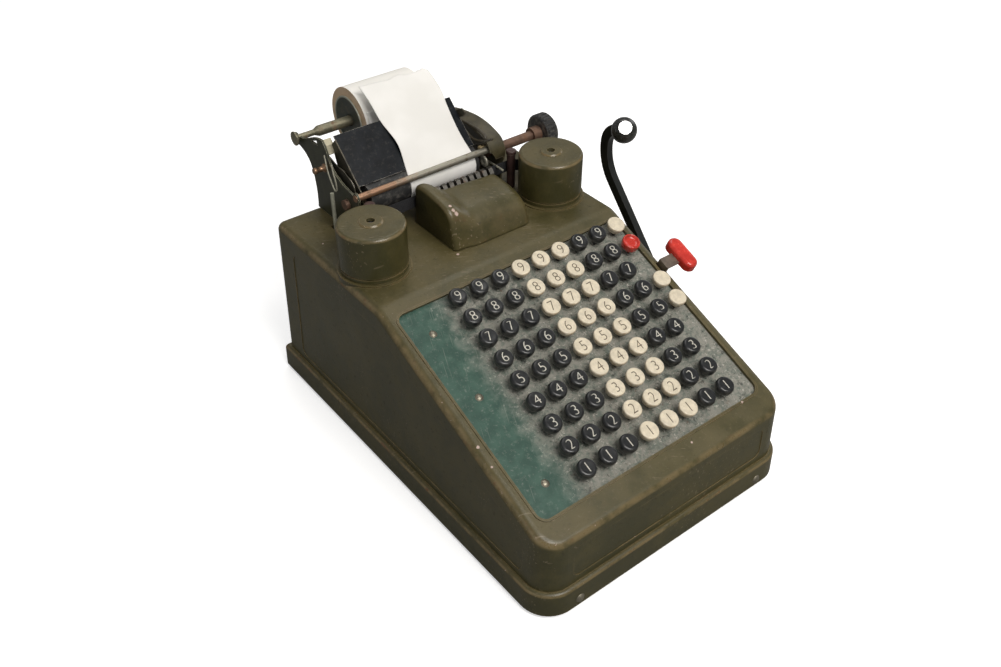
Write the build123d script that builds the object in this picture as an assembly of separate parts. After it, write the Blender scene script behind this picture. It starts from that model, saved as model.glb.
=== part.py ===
from build123d import *
from math import acos, asin, atan2, cos, degrees, hypot, pi, radians, sin, sqrt, tan
import os

# A hand-cranked desk adding machine with a full keyboard, a ribbon printer and a roll of paper.
# Millimetres. X is the operator's right, Y goes to the rear, Z is up and the table is Z = 0.
# The model is drawn about the middle of the case, and every node is moved by `to_origin` when it
# is written, so that the origin is the bottom centre of the space the whole machine takes.

# ---------------------------------------------------------------- case
case_width = 234.0
case_length = 339.0
case_front = -167.0
foot_gap = 3.0
deck_height = 144.0
deck_front = 26.0
keyboard_slope = 22.27
plan_radius = 20.0
wall_draft = 2.0
wall = 1.6
top_edge_radius = 6.5
bend_radius = 14.0
flange_height = 20.0
flange_proud = 3.5
flange_edge_radius = 3.0
panel_depth = 0.5
panel_margin = 17.0
panel_radius = 12.0
bead_width = 1.8
bead_height = 0.7
fit_gap = 0.3
screw_clearance = 0.05

# ---------------------------------------------------------------- keyboard
key_pitch = 19.05
key_columns = 8
key_rows = 9
key_radius = 7.1
key_height = 6.5
key_above_rim = 10.0
key_edge = 0.9
first_column_x = -57.6
front_margin = 14.05
opening_width = 207.2
opening_length = 175.3
opening_radius = 7.0
opening_y = -65.375
plate_thickness = 1.2
plate_overlap = 3.2
guide_plate_drop = 25.0
stem_thickness = 1.6
stem_width = 5.0
stem_slot_clearance = 0.5
stem_tail = 6.0
red_key_dish = 2.2
red_key_wall = 1.3

# ---------------------------------------------------------------- minus bar
minus_bar_length = 30.0
minus_bar_width = 12.4
minus_bar_height = 8.0
minus_bar_x = 126.6
minus_bar_y = -39.5
minus_bar_above_rim = 11.5
minus_arm_width = 10.0
minus_arm_above_rim = 6.2
minus_arm_thickness = 1.6
minus_arm_tail = 32.0
minus_slot_clearance = 0.8

# ---------------------------------------------------------------- ribbon spools and their covers
spool_x = 84.0
spool_y = 72.0
cover_radius = 25.6
cover_height = 37.3
cover_wall = 1.2
cover_edge_radius = 3.0
cover_foot_height = 4.0
cover_foot_groove = 0.5
cover_cap_radius = 9.0
cover_cap_height = 1.2
cover_cap_hole = 3.2
boss_radius = 27.6
boss_height = 1.2
boss_depth = 12.0
spool_flange_radius = 21.0
spool_winding_radius = 18.5
spool_lift = 8.0
spool_shaft_radius = 2.5
ribbon_width = 12.0
ribbon_thickness = 0.3
ribbon_edge = 1.0
ribbon_slot_width = 15.0
spool_flange_thickness = 1.0
post_x = 67.0
post_y = 101.0
post_radius = 3.5
post_cap_radius = 4.3
post_cap_height = 3.0
post_height = 33.0

# ---------------------------------------------------------------- type hood and type bars
hood_left = -26.4
hood_right = 46.8
hood_front = 47.0
hood_rear = 91.0
hood_height = 27.0
hood_cheek_rear = 102.5
hood_cheek_width = 11.0
hood_cheek_rise = 7.5
hood_wall = 1.3
hood_edge_radius = 5.0
hood_right_radius = 17.0
hood_front_radius = 18.0
hood_shoulder = 27.0
hood_corner_radius = 9.0
hood_fall = 4.5
type_pitch = 6.35
type_bars = 9
type_middle_x = 19.5
type_bar_thickness = 1.8
type_bar_width = 6.0
type_head_thickness = 3.8
type_head_height = 11.0
type_bar_y = 100.0
type_bar_rise = 24.5
type_bar_length = 104.0
type_slot_clearance = 0.4

# ---------------------------------------------------------------- carriage, platen and paper
plate_left_x = -73.0
plate_right_x = 61.0
carriage_plate = 1.6
plate_flange = 14.0
plate_front = 106.4
plate_ear = 6.0
roll_arm_x = 43.0
left_sheet_x = -68.5
feed_wheel_x = 46.5
feed_wheel_y = 111.6
feed_wheel_radius = 5.2
feed_wheel_width = 3.0
feed_wheel_drop = 2.0
platen_y = 121.5
platen_rise = 25.3
platen_radius = 13.4
platen_shaft_radius = 4.0
platen_left = -60.0
platen_right = 40.6
platen_bracket_x = 43.0
bracket_thickness = 1.6
shaft_clearance = 0.05
knob_radius = 15.0
knob_thickness = 11.0
knob_x = 112.0
knob_ribs = 24
knob_rib_depth = 0.9
knob_hub_radius = 6.4
knob_hub_length = 8.0
paper_left = -25.0
paper_right = 37.0
paper_thickness = 0.3
paper_gap = 0.3
paper_rise = 53.0
paper_curl_radius = 70.0
paper_curl = 24.0
table_thickness = 1.0
table_left = -65.5
table_slope = 43.0
table_length = 43.0
table_lift = 6.0
roll_y = 190.0
roll_rise = 52.5
roll_radius = 27.0
roll_core_radius = 16.5
roll_left = -27.0
spindle_radius = 4.2
spindle_neck_radius = 2.4
spindle_flare_radius = 5.6
spindle_disc_radius = 16.2
spindle_disc_depth = 8.0
bar_y = 108.5
bar_radius = 2.7
lever_x = -79.6
lever_y = 133.8
lever_radius = 1.5
lever_height = 31.0
lever_slot = 9.0

# ---------------------------------------------------------------- crank
crank_x = 138.2
crank_y = -2.0
crank_z = 82.0
crank_lean = 48.2
crank_straight = 84.8
crank_bend_radius = 42.0
crank_bend = 47.8
crank_hook_radius = 18.2
crank_hook = 84.0
crank_arm_width = 8.4
crank_arm_thickness = 6.0
crank_boss_radius = 8.5
crank_boss_length = 9.0
crank_shaft_radius = 5.0
crank_hole_clearance = 0.8
knob_ball_radius = 10.4
knob_pin_radius = 5.3
knob_pin_dome = 1.2

# ---------------------------------------------------------------- frame and adding mechanism
base_thickness = 1.6
base_lift = 1.0
foot_radius = 9.0
foot_inset = 22.0
frame_inset = 17.0
frame_thickness = 2.0
frame_end_inset = 15.0
tie_rod_radius = 3.0
rod_inset = 25.0
rack_thickness = 2.0
rack_bottom = 22.0
rack_height = 8.8
rack_front = -118.0
rack_rear = 84.0
rack_travel = 27.0
wheel_teeth = 10
wheel_pitch_radius = 8.0
wheel_thickness = 3.0
wheel_y = 30.0
tooth_addendum = 0.8
tooth_dedendum = 1.2
tooth_share = 0.38
wheel_bore_radius = 3.0
screw_x = 88.0
screw_lift = 6.0
screw_head_radius = 3.6
screw_head_height = 1.8
plate_screw_radius = 3.0
plate_screw_height = 1.3
plate_screws = [(-86.0, 65.0), (-86.0, 8.0), (-84.0, -66.0)]

# ---------------------------------------------------------------- derived sizes
slope = radians(keyboard_slope)
half_width = case_width / 2
case_rear = case_front + case_length
base_bottom = foot_gap + base_lift
foot_x = half_width - foot_inset
frame_x = half_width - frame_inset
frame_front = case_front + frame_end_inset
frame_rear = case_rear - frame_end_inset
base_top = base_bottom + base_thickness
plate_drop = wall + fit_gap
opening_margin = opening_width / 2
function_column_x = first_column_x + key_columns * key_pitch
first_row_v = front_margin - opening_length / 2
column_xs = [first_column_x + i * key_pitch for i in range(key_columns)]
row_vs = [first_row_v + i * key_pitch for i in range(key_rows)]
platen_z = deck_height + platen_rise
roll_z = deck_height + roll_rise
type_bar_top = deck_height + type_bar_rise
boss_top = deck_height + boss_height
cover_top = boss_top + cover_height
rack_pitch_z = rack_bottom + rack_height + tooth_dedendum
wheel_z = rack_pitch_z + wheel_pitch_radius
frame_inner = frame_x - frame_thickness / 2
frame_outer = frame_x + frame_thickness / 2
spool_z = boss_top + spool_lift
ribbon_z = spool_z + spool_flange_thickness + 1.0
ribbon_y = post_y + post_radius + ribbon_thickness / 2 + 0.05
paper_radius = platen_radius + paper_gap
bar_reach = paper_radius + paper_thickness / 2 + fit_gap + bar_radius
bar_z = platen_z + sqrt(bar_reach**2 - (platen_y - bar_y) ** 2)
roll_right = roll_left + paper_right - paper_left - 2.0
space_left = -half_width - flange_proud
space_right = crank_x + knob_ball_radius
space_front = case_front - flange_proud - screw_head_height + screw_lift * tan(radians(wall_draft))
space_rear = roll_y + roll_radius
to_origin = Location((-(space_left + space_right) / 2, -(space_front + space_rear) / 2, 0))


def rim_z(y):
    """Height of the sloped top face, or of the flat deck behind it, at a place along the case."""
    return deck_height - tan(slope) * max(0.0, deck_front - y)


key_plane = Plane(
    origin=(0, opening_y, rim_z(opening_y)), x_dir=(1, 0, 0), z_dir=(0, -sin(slope), cos(slope))
)


def on_keys(x, v, height=0.0):
    """A place on the sloped rim: x across, v up the slope, height square to it."""
    return key_plane.location * Pos(x, v, height)


def across(face_points, x0, x1):
    """A solid between two x places from an outline given as (y, z) points."""
    outline = Polyline(*[(x0, y, z) for y, z in face_points], close=True)
    return extrude(make_face(outline), x1 - x0, dir=(1, 0, 0))


def sheet_x(runs, x0, x1):
    """A flat plate between two x places; a run of two (y, z) points is straight, a longer one curves."""
    edges = []
    for run in runs:
        points = [(x0, y, z) for y, z in run]
        edges.append(Line(*points) if len(points) == 2 else Spline(*points))
    return extrude(make_face(edges), x1 - x0, dir=(1, 0, 0))


def straight(points):
    """Straight runs from each point to the next."""
    return [list(pair) for pair in zip(points, points[1:])]


def rod_x(radius, x0, x1, y, z):
    """A round bar along X."""
    return Pos(x0, y, z) * Rot(0, 90, 0) * Cylinder(
        radius, x1 - x0, align=(Align.CENTER, Align.CENTER, Align.MIN)
    )


def post_z(radius, x, y, z0, z1):
    """A round upright."""
    return Pos(x, y, z0) * Cylinder(radius, z1 - z0, align=(Align.CENTER, Align.CENTER, Align.MIN))


def band(start, heading, moves, width):
    """A flat face of even width along straight runs and arcs in the YZ plane.

    start is the (y, z) of the middle line and heading its direction in degrees from +Y.
    A move is (length, 0) for a straight run or (radius, degrees) for an arc, left turns positive.
    """
    y, z = start
    angle = radians(heading)
    left, right = [], []

    def side(sign, place, direction):
        return (
            place[0] - sign * sin(direction) * width / 2,
            place[1] + sign * cos(direction) * width / 2,
        )

    def spot(point):
        return (0, point[0], point[1])

    for size, turn in moves:
        if turn == 0:
            end = (y + size * cos(angle), z + size * sin(angle))
            left.append(Line(spot(side(1, (y, z), angle)), spot(side(1, end, angle))))
            right.append(Line(spot(side(-1, (y, z), angle)), spot(side(-1, end, angle))))
            y, z = end
            continue
        sign = 1 if turn > 0 else -1
        centre = (y - sign * size * sin(angle), z + sign * size * cos(angle))
        places = []
        for share in (0.0, 0.5, 1.0):
            direction = angle + radians(turn) * share
            place = (
                centre[0] + sign * size * sin(direction),
                centre[1] - sign * size * cos(direction),
            )
            places.append((place, direction))
        left.append(ThreePointArc(*[spot(side(1, place, way)) for place, way in places]))
        right.append(ThreePointArc(*[spot(side(-1, place, way)) for place, way in places]))
        (y, z), angle = places[-1]
    ends = [
        Line(left[0] @ 0, right[0] @ 0),
        Line(left[-1] @ 1, right[-1] @ 1),
    ]
    return make_face(left + right + ends)


# ---------------------------------------------------------------- case
def case_block(inset, edge_radius):
    """The case's outer form, or the same form drawn in by inset, without its bottom flange."""
    block = extrude(foot_plan(-inset), deck_height, taper=wall_draft)
    reach = case_front - 2 * plan_radius
    rear = case_rear - inset
    top = deck_height - inset
    low = top - inset * (1 / cos(slope) - 1)
    bend = deck_front - (low - top) / tan(slope)
    profile = [
        (reach, 0),
        (rear, 0),
        (rear, top),
        (bend, top),
        (reach, top - tan(slope) * (bend - reach)),
    ]
    block = block & across(profile, -case_width, case_width)
    bends = block.edges().filter_by(Axis.X).filter_by(
        lambda e: abs(e.center().Z - top) < 0.01 and abs(e.center().Y - bend) < 1.0
    )
    block = fillet(bends, bend_radius)
    rim = block.edges().filter_by(lambda e: on_top(e, top, bend) or up_the_rear(e, rear))
    return fillet(rim, edge_radius)


def foot_plan(grow):
    """The case's outline at its foot, run on past the rear wall so that only its front is rounded."""
    length = case_length + 3 * plan_radius + grow
    middle = case_front - grow + length / 2
    return Plane.XY.offset(foot_gap) * Pos(0, middle) * RectangleRounded(
        case_width + 2 * grow, length, plan_radius + grow
    )


def up_the_rear(edge, rear):
    """Whether an edge is one of the two upright corners of the rear wall."""
    span = edge.bounding_box()
    return span.min.Y > rear - 0.01 and span.size.Z > deck_height / 2


def on_top(edge, top, bend):
    """Whether an edge runs round the outside of the sloped top face and the deck."""
    for share in (0.1, 0.5, 0.9):
        point = edge @ share
        height = top - tan(slope) * max(0.0, bend - point.Y)
        near_bend = abs(point.Y - bend) < bend_radius
        if abs(point.Z - height) > (1.0 if near_bend else 0.02):
            return False
    span = edge.bounding_box()
    across_bend = span.size.X > case_width / 2 and abs(span.max.Y - bend) < 2 * bend_radius
    return not across_bend


def panels():
    """Prisms over the shallow recessed panels of the two sides and the front."""
    low = foot_gap + flange_height + panel_margin / 3
    front = case_front + 1.5 * panel_margin
    rear = case_rear - 1.5 * panel_margin
    drop = panel_margin
    side = [
        (front, low),
        (rear, low),
        (rear, deck_height - drop),
        (deck_front + 4, deck_height - drop),
        (front, rim_z(front) - drop),
    ]
    sides = across(side, -case_width, case_width)
    sides = fillet(sides.edges().filter_by(Axis.X), panel_radius / 2)
    width = case_width - 3 * panel_margin
    height = rim_z(case_front) - drop / 2 - low
    face = Plane.XZ * Pos(0, low + height / 2) * RectangleRounded(width, height, panel_radius / 2)
    return sides, extrude(face, plan_radius - case_front)


def keyboard_cut(extra, low, high):
    """The keyboard opening as a prism square to the slope."""
    face = on_keys(0, 0, low) * RectangleRounded(
        opening_width + 2 * extra, opening_length + 2 * extra, opening_radius + extra
    )
    return extrude(face, high - low, dir=key_plane.z_dir)


def make_case():
    outer = case_block(0.0, top_edge_radius)
    inner = case_block(wall, top_edge_radius - wall)
    skin = outer - case_block(panel_depth, top_edge_radius - panel_depth)
    for prism in panels():
        outer = outer - (skin & prism)
    flange = extrude(foot_plan(flange_proud), flange_height, taper=wall_draft)
    flange = fillet(flange.edges().group_by(Axis.Z)[-1], flange_edge_radius)
    flange = flange & Pos(0, case_rear - case_length, 0) * Box(2 * case_width, 2 * case_length, deck_height)
    bosses = [
        post_z(boss_radius, side * spool_x, spool_y, deck_height - boss_depth, boss_top)
        for side in (-1, 1)
    ]
    case = outer + flange + bosses
    case = case - inner
    case = case + (keyboard_cut(bead_width, -wall / 2, bead_height) - keyboard_cut(0, -wall, 2))
    case = case - keyboard_cut(0, -3 * wall, 3 * bead_height)
    case = case - deck_cuts()
    shank = Cylinder(screw_head_radius / 2 + screw_clearance, 4 * flange_proud)
    case = case - [place * shank for place in screw_places()]
    hole = crank_shaft_radius + crank_hole_clearance
    return case - rod_x(hole, half_width - plan_radius, case_width, crank_y, crank_z)


def deck_cuts():
    """Openings in the deck and the rim for the type bars, the spool shafts and the two levers."""
    width = type_pitch * type_bars + 6
    cuts = Pos(type_middle_x, type_bar_y, deck_height) * Box(width, type_bar_width + 8, 6 * wall)
    for side in (-1, 1):
        cuts = cuts + post_z(
            spool_shaft_radius + shaft_clearance,
            side * spool_x, spool_y, deck_height - boss_depth - 5, boss_top + 5,
        )
    cuts = cuts + Pos(lever_x, lever_y, deck_height) * Box(
        2 * lever_radius + 1, lever_slot, 6 * wall
    )
    arm = minus_arm_thickness + 2 * minus_slot_clearance
    place = on_keys(minus_arm_x(), minus_v(), 0)
    return cuts + place * Box(arm, minus_arm_width + 2 * minus_slot_clearance, 8 * wall)


def minus_v():
    """Place of the minus bar along the slope."""
    return (minus_bar_y - opening_y) / cos(slope) + minus_bar_above_rim * tan(slope)


def minus_arm_x():
    """Place of the minus bar's arm in the strip between the keyboard opening and the case's edge."""
    strip = (half_width - deck_height * tan(radians(wall_draft)) / 2 + opening_margin + bead_width) / 2
    return strip - top_edge_radius / 4


def screw_places():
    """Seats of the two screws along the foot of the front wall."""
    face = case_front - flange_proud + screw_lift * tan(radians(wall_draft))
    turn = Rot(90 - wall_draft, 0, 0)
    return [Pos(x, face, foot_gap + screw_lift) * turn for x in (-screw_x, screw_x)]


def make_case_screws():
    """Round-head screws along the foot of the front wall and in the keyboard plate."""
    return [
        round_head(screw_head_radius, screw_head_height, flange_proud + wall, place)
        for place in screw_places()
    ] + [
        round_head(plate_screw_radius, plate_screw_height, 3 * plate_thickness, place)
        for place in plate_screw_places()
    ]


def plate_screw_places():
    """Seats of the screws in the bare strip of the keyboard plate."""
    return [on_keys(x, v, -plate_drop) for x, v in plate_screws]


def round_head(radius, height, shank, place):
    """A round screw head seated at `place`, its shank going down the other way."""
    ball = (radius * radius + height * height) / (2 * height)
    head = Pos(0, 0, height - ball) * Sphere(ball)
    head = head & Cylinder(radius, height, align=(Align.CENTER, Align.CENTER, Align.MIN))
    stem = Cylinder(radius / 2, shank, align=(Align.CENTER, Align.CENTER, Align.MAX))
    return place * (head + stem)


# ---------------------------------------------------------------- keyboard
def stem_slots():
    """Slots for every key stem, square to the slope."""
    slot = Box(
        stem_thickness + 2 * stem_slot_clearance,
        stem_width + 2 * stem_slot_clearance,
        guide_plate_drop * 3,
    )
    places = [(x, v) for x in column_xs for v in row_vs]
    places += [(function_column_x, row_vs[row]) for row in (4, 5, 7, 8)]
    return [on_keys(x, v, -guide_plate_drop) * slot for x, v in places]


def make_keyboard_plate():
    face = on_keys(0, 0, -plate_drop - plate_thickness) * RectangleRounded(
        opening_width + 2 * plate_overlap, opening_length + 2 * plate_overlap, opening_radius
    )
    plate = extrude(face, plate_thickness, dir=key_plane.z_dir)
    arm = on_keys(minus_arm_x(), minus_v(), 0) * Box(
        minus_arm_thickness + 2 * minus_slot_clearance, minus_arm_width + 2, 10 * wall
    )
    holes = [
        place * Cylinder(plate_screw_radius / 2 + screw_clearance, 4 * plate_thickness)
        for place in plate_screw_places()
    ]
    return plate - stem_slots() - arm - holes


def make_key_guide_plate():
    face = on_keys(0, 0, -plate_drop - plate_thickness - guide_plate_drop) * Rectangle(
        2 * frame_inner, opening_length - 6
    )
    return extrude(face, plate_thickness, dir=key_plane.z_dir) - stem_slots()


def key_cap():
    """A plain round cap with a bevelled top edge, its foot at Z = 0."""
    cap = Cylinder(key_radius, key_height, align=(Align.CENTER, Align.CENTER, Align.MIN))
    return chamfer(cap.edges().group_by(Axis.Z)[-1], key_edge)


def key_stem():
    """The flat steel strip that carries a cap, its top at Z = 0."""
    length = key_above_rim - key_height + plate_drop + guide_plate_drop + 2 * plate_thickness + stem_tail
    return Box(stem_thickness, stem_width, length, align=(Align.CENTER, Align.CENTER, Align.MAX))


def make_key_columns():
    cap, stem = key_cap(), key_stem()
    seat = key_above_rim - key_height
    nodes = {}
    for number, x in enumerate(column_xs, start=1):
        places = [on_keys(x, v, seat) for v in row_vs]
        nodes[f"keycaps_column_{number}"] = [place * cap for place in places]
        nodes[f"keystems_column_{number}"] = [place * stem for place in places]
    return nodes


def make_function_keys():
    """Subtotal, non-add, total and repeat keys, each with its own stem."""
    cap, stem = key_cap(), key_stem()
    dished = Cylinder(key_radius, key_height, align=(Align.CENTER, Align.CENTER, Align.MIN))
    dish = Pos(0, 0, key_height - red_key_dish) * Cone(
        key_radius - 2 * red_key_wall, key_radius - red_key_wall, red_key_dish,
        align=(Align.CENTER, Align.CENTER, Align.MIN),
    )
    dished = dished - dish
    seat = key_above_rim - key_height
    nodes = {}
    for name, row in (("repeat_key", 4), ("total_key", 5), ("non_add_key", 7), ("subtotal_key", 8)):
        place = on_keys(function_column_x, row_vs[row], seat)
        shape = dished if name == "non_add_key" else cap
        nodes[name] = [place * shape, place * stem]
    return nodes


def make_minus_bar():
    """The oblong bar outside the right rim, and the bent arm that comes up through the rim."""
    bar = Box(minus_bar_width, minus_bar_length, minus_bar_height,
              align=(Align.CENTER, Align.CENTER, Align.MAX))
    bar = fillet(bar.edges().filter_by(Axis.Z), minus_bar_width / 2 - 0.05)
    bar = fillet(bar.edges().group_by(Axis.Z)[-1], minus_bar_height * 0.38)
    v = minus_v()
    seat = minus_arm_above_rim
    arm_x = minus_arm_x()
    run = minus_bar_x - arm_x + minus_arm_thickness / 2
    top = Box(run, minus_arm_width, minus_arm_thickness, align=(Align.MIN, Align.CENTER, Align.MAX))
    leg = Box(minus_arm_thickness, minus_arm_width, minus_arm_tail + seat,
              align=(Align.CENTER, Align.CENTER, Align.MAX))
    arm = on_keys(arm_x - minus_arm_thickness / 2, v, seat) * top + on_keys(arm_x, v, seat) * leg
    return on_keys(minus_bar_x, v, minus_bar_above_rim) * bar - arm, arm


# ---------------------------------------------------------------- spool covers, spools and ribbon
def make_spool_cover(side):
    x = side * spool_x
    height = cover_top - boss_top
    cover = Cylinder(cover_radius, height, align=(Align.CENTER, Align.CENTER, Align.MIN))
    cover = fillet(cover.edges().group_by(Axis.Z)[-1], cover_edge_radius)
    groove = Pos(0, 0, cover_foot_height) * (
        Cylinder(cover_radius + 1, 1.2) - Cylinder(cover_radius - cover_foot_groove, 2)
    )
    cap = Pos(0, 0, height) * Cylinder(
        cover_cap_radius, cover_cap_height, align=(Align.CENTER, Align.CENTER, Align.MIN)
    )
    cap = chamfer(cap.edges().group_by(Axis.Z)[-1], cover_cap_height * 0.8)
    hollow = Cylinder(
        cover_radius - cover_wall, height - cover_wall, align=(Align.CENTER, Align.CENTER, Align.MIN)
    )
    hole = Pos(0, 0, height) * Cylinder(cover_cap_hole, 4 * cover_wall)
    slot = Pos(-side * 1.5, cover_radius - 2, ribbon_z - boss_top + ribbon_width / 2) * Box(
        ribbon_slot_width, 12, ribbon_width + 3
    )
    return Pos(x, spool_y, boss_top) * (cover + cap - groove - hollow - hole - slot)


def make_spool(side):
    """A flanged ribbon spool with its wound ribbon, on the shaft that stands in the deck."""
    place = Pos(side * spool_x, spool_y, spool_z)
    low = Cylinder(spool_flange_radius, spool_flange_thickness,
                   align=(Align.CENTER, Align.CENTER, Align.MIN))
    gap = ribbon_width + 2.0
    winding = Pos(0, 0, spool_flange_thickness) * Cylinder(
        spool_winding_radius, gap, align=(Align.CENTER, Align.CENTER, Align.MIN)
    )
    bore = Cylinder(spool_shaft_radius + shaft_clearance, 4 * gap)
    return place * (low + winding + Pos(0, 0, spool_flange_thickness + gap) * low - bore)


def make_spool_shafts():
    """Shafts with a collar under each spool."""
    shafts = []
    for side in (-1, 1):
        shaft = post_z(spool_shaft_radius, side * spool_x, spool_y, deck_height - 2 * boss_depth,
                       cover_top - cover_wall - fit_gap)
        collar = post_z(2 * spool_shaft_radius, side * spool_x, spool_y, boss_top, spool_z - fit_gap)
        shafts.append(shaft + collar)
    return shafts


def ribbon_points():
    """Tangent points of the ribbon on the right spool and the right guide post, in plan."""
    dx, dy = post_x - spool_x, post_y - spool_y
    apart = hypot(dx, dy)
    outer = spool_winding_radius + ribbon_thickness / 2 + 0.05
    inner = post_radius + ribbon_thickness / 2 + 0.05
    lean = atan2(dy, dx) - acos((outer - inner) / apart)
    way = (cos(lean), sin(lean))
    return (
        (spool_x + outer * way[0], spool_y + outer * way[1]),
        (post_x + inner * way[0], post_y + inner * way[1]),
    )


def make_ribbon():
    """The inked band from one spool, round the two guide posts, to the other spool."""
    spool_point, post_point = ribbon_points()
    turn = (post_x, ribbon_y)
    right = Line((0.0, ribbon_y), turn)
    middle_angle = (atan2(post_point[1] - post_y, post_point[0] - post_x) + pi / 2) / 2
    reach = ribbon_y - post_y
    bow = (post_x + reach * cos(middle_angle), post_y + reach * sin(middle_angle))
    arc = ThreePointArc(turn, bow, post_point)
    tail = Line(post_point, spool_point)
    face = trace([right, arc, tail], ribbon_thickness)
    width = ribbon_width - 2 * ribbon_edge
    half_band = Pos(0, 0, ribbon_z + ribbon_edge) * extrude(face, width, dir=(0, 0, 1))
    return half_band + mirror(half_band, about=Plane.YZ)


def make_guide_posts():
    posts = []
    for side in (-1, 1):
        post = post_z(post_radius, side * post_x, post_y, deck_height, deck_height + post_height)
        cap = post_z(post_cap_radius, side * post_x, post_y, deck_height + post_height - post_cap_height,
                     deck_height + post_height)
        cap = fillet(cap.edges().group_by(Axis.Z)[-1], 1.0)
        posts.append(post + cap)
    return posts


# ---------------------------------------------------------------- type hood and type bars
def rounded_outline(points, radii):
    """A closed flat face through the points, each corner rounded by its own radius."""
    face = make_face(Polyline(*points, close=True))
    for point, radius in zip(points, radii):
        if radius > 0:
            corner = face.vertices().sort_by_distance(Vector(*point))[0]
            face = fillet(corner, radius)
    return face


def hood_form(inset):
    """The hood's outer form, or the same drawn in by inset, open below and at the rear."""
    left, right = hood_left + inset, hood_right - inset
    front, rear = hood_front + inset, hood_rear + inset
    floor = deck_height - inset
    top = deck_height + hood_height - inset
    fall = top - hood_fall
    reach = 2 * case_length
    plan = Pos((left + right) / 2, front + reach / 2, floor) * RectangleRounded(
        right - left, reach, hood_corner_radius - inset
    )
    side = rounded_outline(
        [(0, front, floor), (0, front, fall), (0, rear, top), (0, rear, floor)],
        [0, hood_front_radius - inset, 0, 0],
    )
    end = rounded_outline(
        [(left, 0, floor), (left, 0, top), (right, 0, top), (right, 0, floor)],
        [0, hood_edge_radius - inset, hood_right_radius - inset, 0],
    )
    return extrude(plan, top) & extrude(side, case_width, both=True) & extrude(end, reach, both=True)


def cheek_form(inset):
    """The raised left cheek of the hood, which reaches further back beside the type bars."""
    left, right = hood_left + inset, hood_left + hood_cheek_width - inset
    rear = hood_cheek_rear + inset
    floor = deck_height - inset
    crest = deck_height + hood_height + hood_cheek_rise - inset
    front = hood_front + hood_corner_radius / 2
    side = rounded_outline(
        [(0, front, floor), (0, front, crest - 18), (0, front + 11, crest - 5), (0, rear - 14, crest),
         (0, rear, crest), (0, rear, floor)],
        [0, 8.0 - inset, 14.0, 20.0, 7.0 - inset, 0],
    )
    half = (right - left) / 2
    end = rounded_outline(
        [(left, 0, floor), (left, 0, crest), (right, 0, crest), (right, 0, floor)],
        [0, half - 0.3, half - 0.3, 0],
    )
    slope_end = rounded_outline(
        [(left, 0, floor), (left, 0, crest), (left + half, 0, crest),
         (left + hood_shoulder, 0, deck_height + hood_height - hood_fall - inset), (left + hood_shoulder, 0, floor)],
        [0, half - 1.6, 5.0, 0, 0],
    )
    fender = extrude(side, case_width, both=True)
    ahead = Pos(0, hood_rear + inset - case_length, floor) * Box(
        case_width, 2 * case_length, 4 * hood_height
    )
    ridge = fender & extrude(end, 2 * case_length, both=True)
    shoulder = fender & extrude(slope_end, 2 * case_length, both=True) & ahead
    return ridge + shoulder


def make_hood():
    outer = hood_form(0.0) + cheek_form(0.0)
    return outer - hood_form(hood_wall) - cheek_form(hood_wall)


def type_xs():
    first = type_middle_x - type_pitch * (type_bars - 1) / 2
    return [first + i * type_pitch for i in range(type_bars)]


def make_type_bars():
    """Upright bars that rise between the hood and the platen, with a bevelled head."""
    bars = []
    half = type_bar_width / 2
    front, rear = type_bar_y - half, type_bar_y + half
    low, neck = type_bar_top - type_bar_length, type_bar_top - type_head_height
    bar = [(front, low), (rear, low), (rear, neck + 1), (front, neck + 1)]
    head = [(front, neck), (rear, neck), (rear, type_bar_top), (type_bar_y, type_bar_top), (front, type_bar_top - 4)]
    for x in type_xs():
        body = across(bar, x - type_bar_thickness / 2, x + type_bar_thickness / 2)
        bars.append(body + across(head, x - type_head_thickness / 2, x + type_head_thickness / 2))
    return bars


def make_type_guides():
    """Two slotted plates between the side frames that keep the type bars upright."""
    plates = []
    slot = Box(type_bar_thickness + 2 * type_slot_clearance,
               type_bar_width + 2 * type_slot_clearance, 10)
    for z in (deck_height - 22, deck_height - 66):
        plate = Pos(0, type_bar_y, z) * Box(2 * frame_inner, 26, frame_thickness)
        plates.append(plate - [Pos(x, type_bar_y, z) * slot for x in type_xs()])
    return plates


# ---------------------------------------------------------------- carriage
def on_deck(points):
    """Points given as (y, height above the deck) as places in the YZ plane."""
    return [(y, deck_height + rise) for y, rise in points]


def rear_curve():
    """The rear edge of a plate that reaches back to the roll."""
    points = [(170.0, 0.0), (169.0, 12.0), (169.8, 22.0), (172.0, 31.5), (176.0, 39.0), (184.0, 44.5)]
    return on_deck(points) + [(roll_y + plate_ear, roll_z - plate_ear)]


def ear_points():
    """The ear that holds the roll, from its lower rear corner over the top."""
    ear = plate_ear
    return [(roll_y + ear, roll_z - ear), (roll_y + ear, roll_z + ear / 3), (roll_y - ear, roll_z + ear / 3)]


def carriage_holes(x):
    """What is cut from a carriage plate: the roll's open fork and the holes of shaft and bar."""
    fork = spindle_neck_radius + fit_gap
    cuts = rod_x(fork, x - 5, x + 5, roll_y, roll_z)
    cuts = cuts + Pos(x, roll_y, roll_z + 10) * Box(10, 2 * fork, 20)
    cuts = cuts + rod_x(platen_shaft_radius + shaft_clearance, x - 5, x + 5, platen_y, platen_z)
    return cuts + rod_x(bar_radius, x - 5, x + 5, bar_y, bar_z)


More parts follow.
